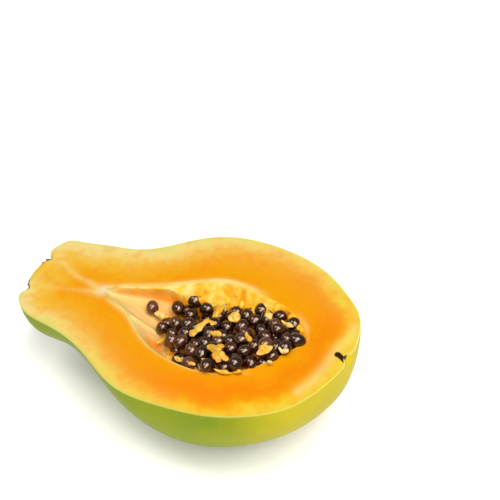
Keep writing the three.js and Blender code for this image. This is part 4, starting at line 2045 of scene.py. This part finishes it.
    def strand(self, x: float, draw: np.random.Generator) -> Shape:
        """A strand of pulp that runs down the far wall, half sunk in it.

        Args:
            x: Its place along the cavity at the cut edge.
            draw: The random draws.

        Returns:
            The strand's shape.
        """
        lean, radius = draw.uniform(*self.strand_lean), draw.uniform(*self.strand_radius)
        _, far = self.cavity.edges(np.array(x), self.strand_inset)
        reach = float(self.drapes.width(np.array(x))) - self.strand_short
        up = self.strand_up * radius
        share = np.linspace(0, 1, 20)
        spine = np.array([self.on_drapes(x + lean * t, float(far) - reach * t, up) for t in share])
        thick = radius * (0.35 + 0.75 * np.sin(math.pi * share) ** 0.7)
        wide, flat = self.strand_section
        shape = ribbon(spine, wide * thick, flat * thick, draw.uniform(*self.strand_tone))
        shape.points[:, 2] = np.minimum(shape.points[:, 2], self.highest_strand)
        return shape

    def band(self, band: Band) -> Shape:
        """Shapes one band.

        Args:
            band: Its path and sizes.

        Returns:
            The band's shape.
        """
        corners = np.array(band.path)
        share = np.linspace(0, 1, 40)
        spine = np.stack([smooth_curve(tuple(corners[:, k]))(share) for k in range(3)], axis=1)
        spine[:, 2] += self.heap.level(spine[:, 0], spine[:, 1])
        wide = band.width / 2 * (0.3 + 0.7 * np.sin(math.pi * share) ** 0.5)
        wide *= 1 + self.band_relief * self.fine_ripples.at(spine)
        return ribbon(spine, wide, self.band_thick * wide, band.tone)

    def along_wall(self, count: int, draw: np.random.Generator) -> Array:
        """Places along the far wall, about evenly apart."""
        return self.wall_from + self.wall_length * (np.arange(count) + draw.random(count)) / count

    def build(self, golden: Material, lining: Material) -> None:
        """Builds the scraps and bands, and the far wall's lumps and strands.

        Args:
            golden: The material of scraps and bands.
            lining: The material of the wall's lumps and strands.
        """
        draw = np.random.default_rng(61)
        scraps = [self.scrap(scrap) for scrap in self.scraps] + [self.band(band) for band in self.bands]
        Shape.joined(scraps).piece("pulp_scraps", golden, Slot.PULP, HEAP_NODE)
        lumps = [self.wall_lump(x, draw) for x in self.along_wall(self.wall_lumps, draw)]
        Shape.joined(lumps).piece("cavity_lumps", lining, Slot.FLESH, HALF_NODE)
        strands = [self.strand(x, draw) for x in self.along_wall(self.wall_strands, draw)]
        Shape.joined(strands).piece("pulp_strands", lining, Slot.FLESH, HALF_NODE)


# ---- The studio ----


@dataclass(frozen=True)
class Softbox:
    """A square studio light: the direction it stands in, its distance, side and power."""

    name: str
    azimuth: float
    elevation: float
    distance: float
    side: float
    power: float
    colour: Colour = (1.0, 0.97, 0.94)

    def build(self, aim: Vector) -> None:
        """Hangs the light.

        Args:
            aim: The point that it faces.
        """
        lamp = bpy.data.lights.new(self.name, "AREA")
        lamp.size = self.side
        lamp.energy = self.power
        lamp.color = self.colour
        light = bpy.data.objects.new(self.name, lamp)
        back = direction(self.azimuth, self.elevation)
        light.location = aim + back * self.distance
        light.rotation_euler = (-back).to_track_quat("-Z", "Y").to_euler()
        bpy.context.scene.collection.objects.link(light)


def direction(azimuth: float, elevation: float) -> Vector:
    """The direction from the fruit to something else.

    Args:
        azimuth: Its angle about the vertical from the front, in degrees.
        elevation: Its angle over the table, in degrees.

    Returns:
        The direction, of length 1.
    """
    a, e = math.radians(azimuth), math.radians(elevation)
    return Vector((math.sin(a) * math.cos(e), -math.cos(a) * math.cos(e), math.sin(e)))


@dataclass
class Studio:
    """A white table, a soft white room, the softboxes and the camera."""

    table_side: float = 8.0
    room_colour: Colour = (1.0, 1.0, 1.0)
    room_light: float = 0.26
    softboxes: tuple[Softbox, ...] = (
        Softbox("key light", azimuth=70, elevation=69, distance=1.3, side=0.95, power=21.8),
        Softbox("left light", azimuth=-80, elevation=62, distance=1.3, side=0.6, power=5.2),
        Softbox("front light", azimuth=15, elevation=45, distance=1.3, side=0.6, power=6.9),
    )
    aim: Point = (0.0, 0.0, 0.03)  # what the softboxes face
    camera_at: Point = (0.16793, -0.31137, 0.45712)
    camera_azimuth: float = 23.58
    camera_elevation: float = 45.84
    lens: float = 84.96
    sensor: float = 36.0
    nearest: float = 0.01  # that the camera sees

    def build(self, effects: SharedEffects) -> None:
        """Sets up the studio.

        Args:
            effects: The shared node groups.
        """
        self.build_table(TableFinish().material(effects))
        self.build_room()
        for softbox in self.softboxes:
            softbox.build(Vector(self.aim))
        self.build_camera()

    def build_table(self, finish: Material) -> None:
        """Lays the table top.

        Args:
            finish: The table's material.
        """
        half = self.table_side / 2
        mesh = bpy.data.meshes.new("table")
        corners = [(-half, -half, 0), (half, -half, 0), (half, half, 0), (-half, half, 0)]
        mesh.from_pydata(corners, [], [(0, 1, 2, 3)])
        mesh.materials.append(finish)
        table = bpy.data.objects.new("table", mesh)
        bpy.context.scene.collection.objects.link(table)

    def build_room(self) -> None:
        """Fills the room with even white light."""
        world = bpy.data.worlds.new("white room")
        world.use_nodes = True
        sheet = NodeSheet(world.node_tree)
        feeds = {"Color": opaque(self.room_colour), "Strength": self.room_light}
        light = sheet.add("ShaderNodeBackground", feeds)
        out = sheet.add("ShaderNodeOutputWorld")
        sheet.feed(out.inputs["Surface"], light.outputs["Background"])
        bpy.context.scene.world = world

    def build_camera(self) -> None:
        """Stands the camera."""
        data = bpy.data.cameras.new("camera")
        data.lens = self.lens
        data.sensor_width = self.sensor
        data.clip_start = self.nearest
        camera = bpy.data.objects.new("camera", data)
        camera.location = self.camera_at
        back = direction(self.camera_azimuth, self.camera_elevation)
        camera.rotation_mode = "QUATERNION"
        camera.rotation_quaternion = (-back).to_track_quat("-Z", "Y")
        bpy.context.scene.collection.objects.link(camera)
        bpy.context.scene.camera = camera


def main() -> None:
    """Builds the papaya half and its studio."""
    logging.basicConfig(level=logging.INFO, format="%(name)s: %(message)s")
    form = FruitForm()
    cavity = CavityForm()
    heap = HeapForm(cavity)
    drapes = Drapes(cavity)
    effects = SharedEffects()
    studio = Studio()
    studio.build(effects)
    log.info("studio ready")

    SkinShell(form).build(SkinFinish().material(effects))
    FleshBody(form, cavity, drapes).build(FleshFinish().material(effects))

    seeds = SeedHeap(cavity, heap, form)
    seeds.build_core(SEED_BED.material(effects))
    seeds.build_seeds(SeedFinish().material(effects))
    Pulp(cavity, heap, drapes).build(GOLDEN_PULP.material(effects), CAVITY_LINING.material(effects))

    bpy.context.scene.view_settings.view_transform = "Standard"


if __name__ == "__main__":
    main()
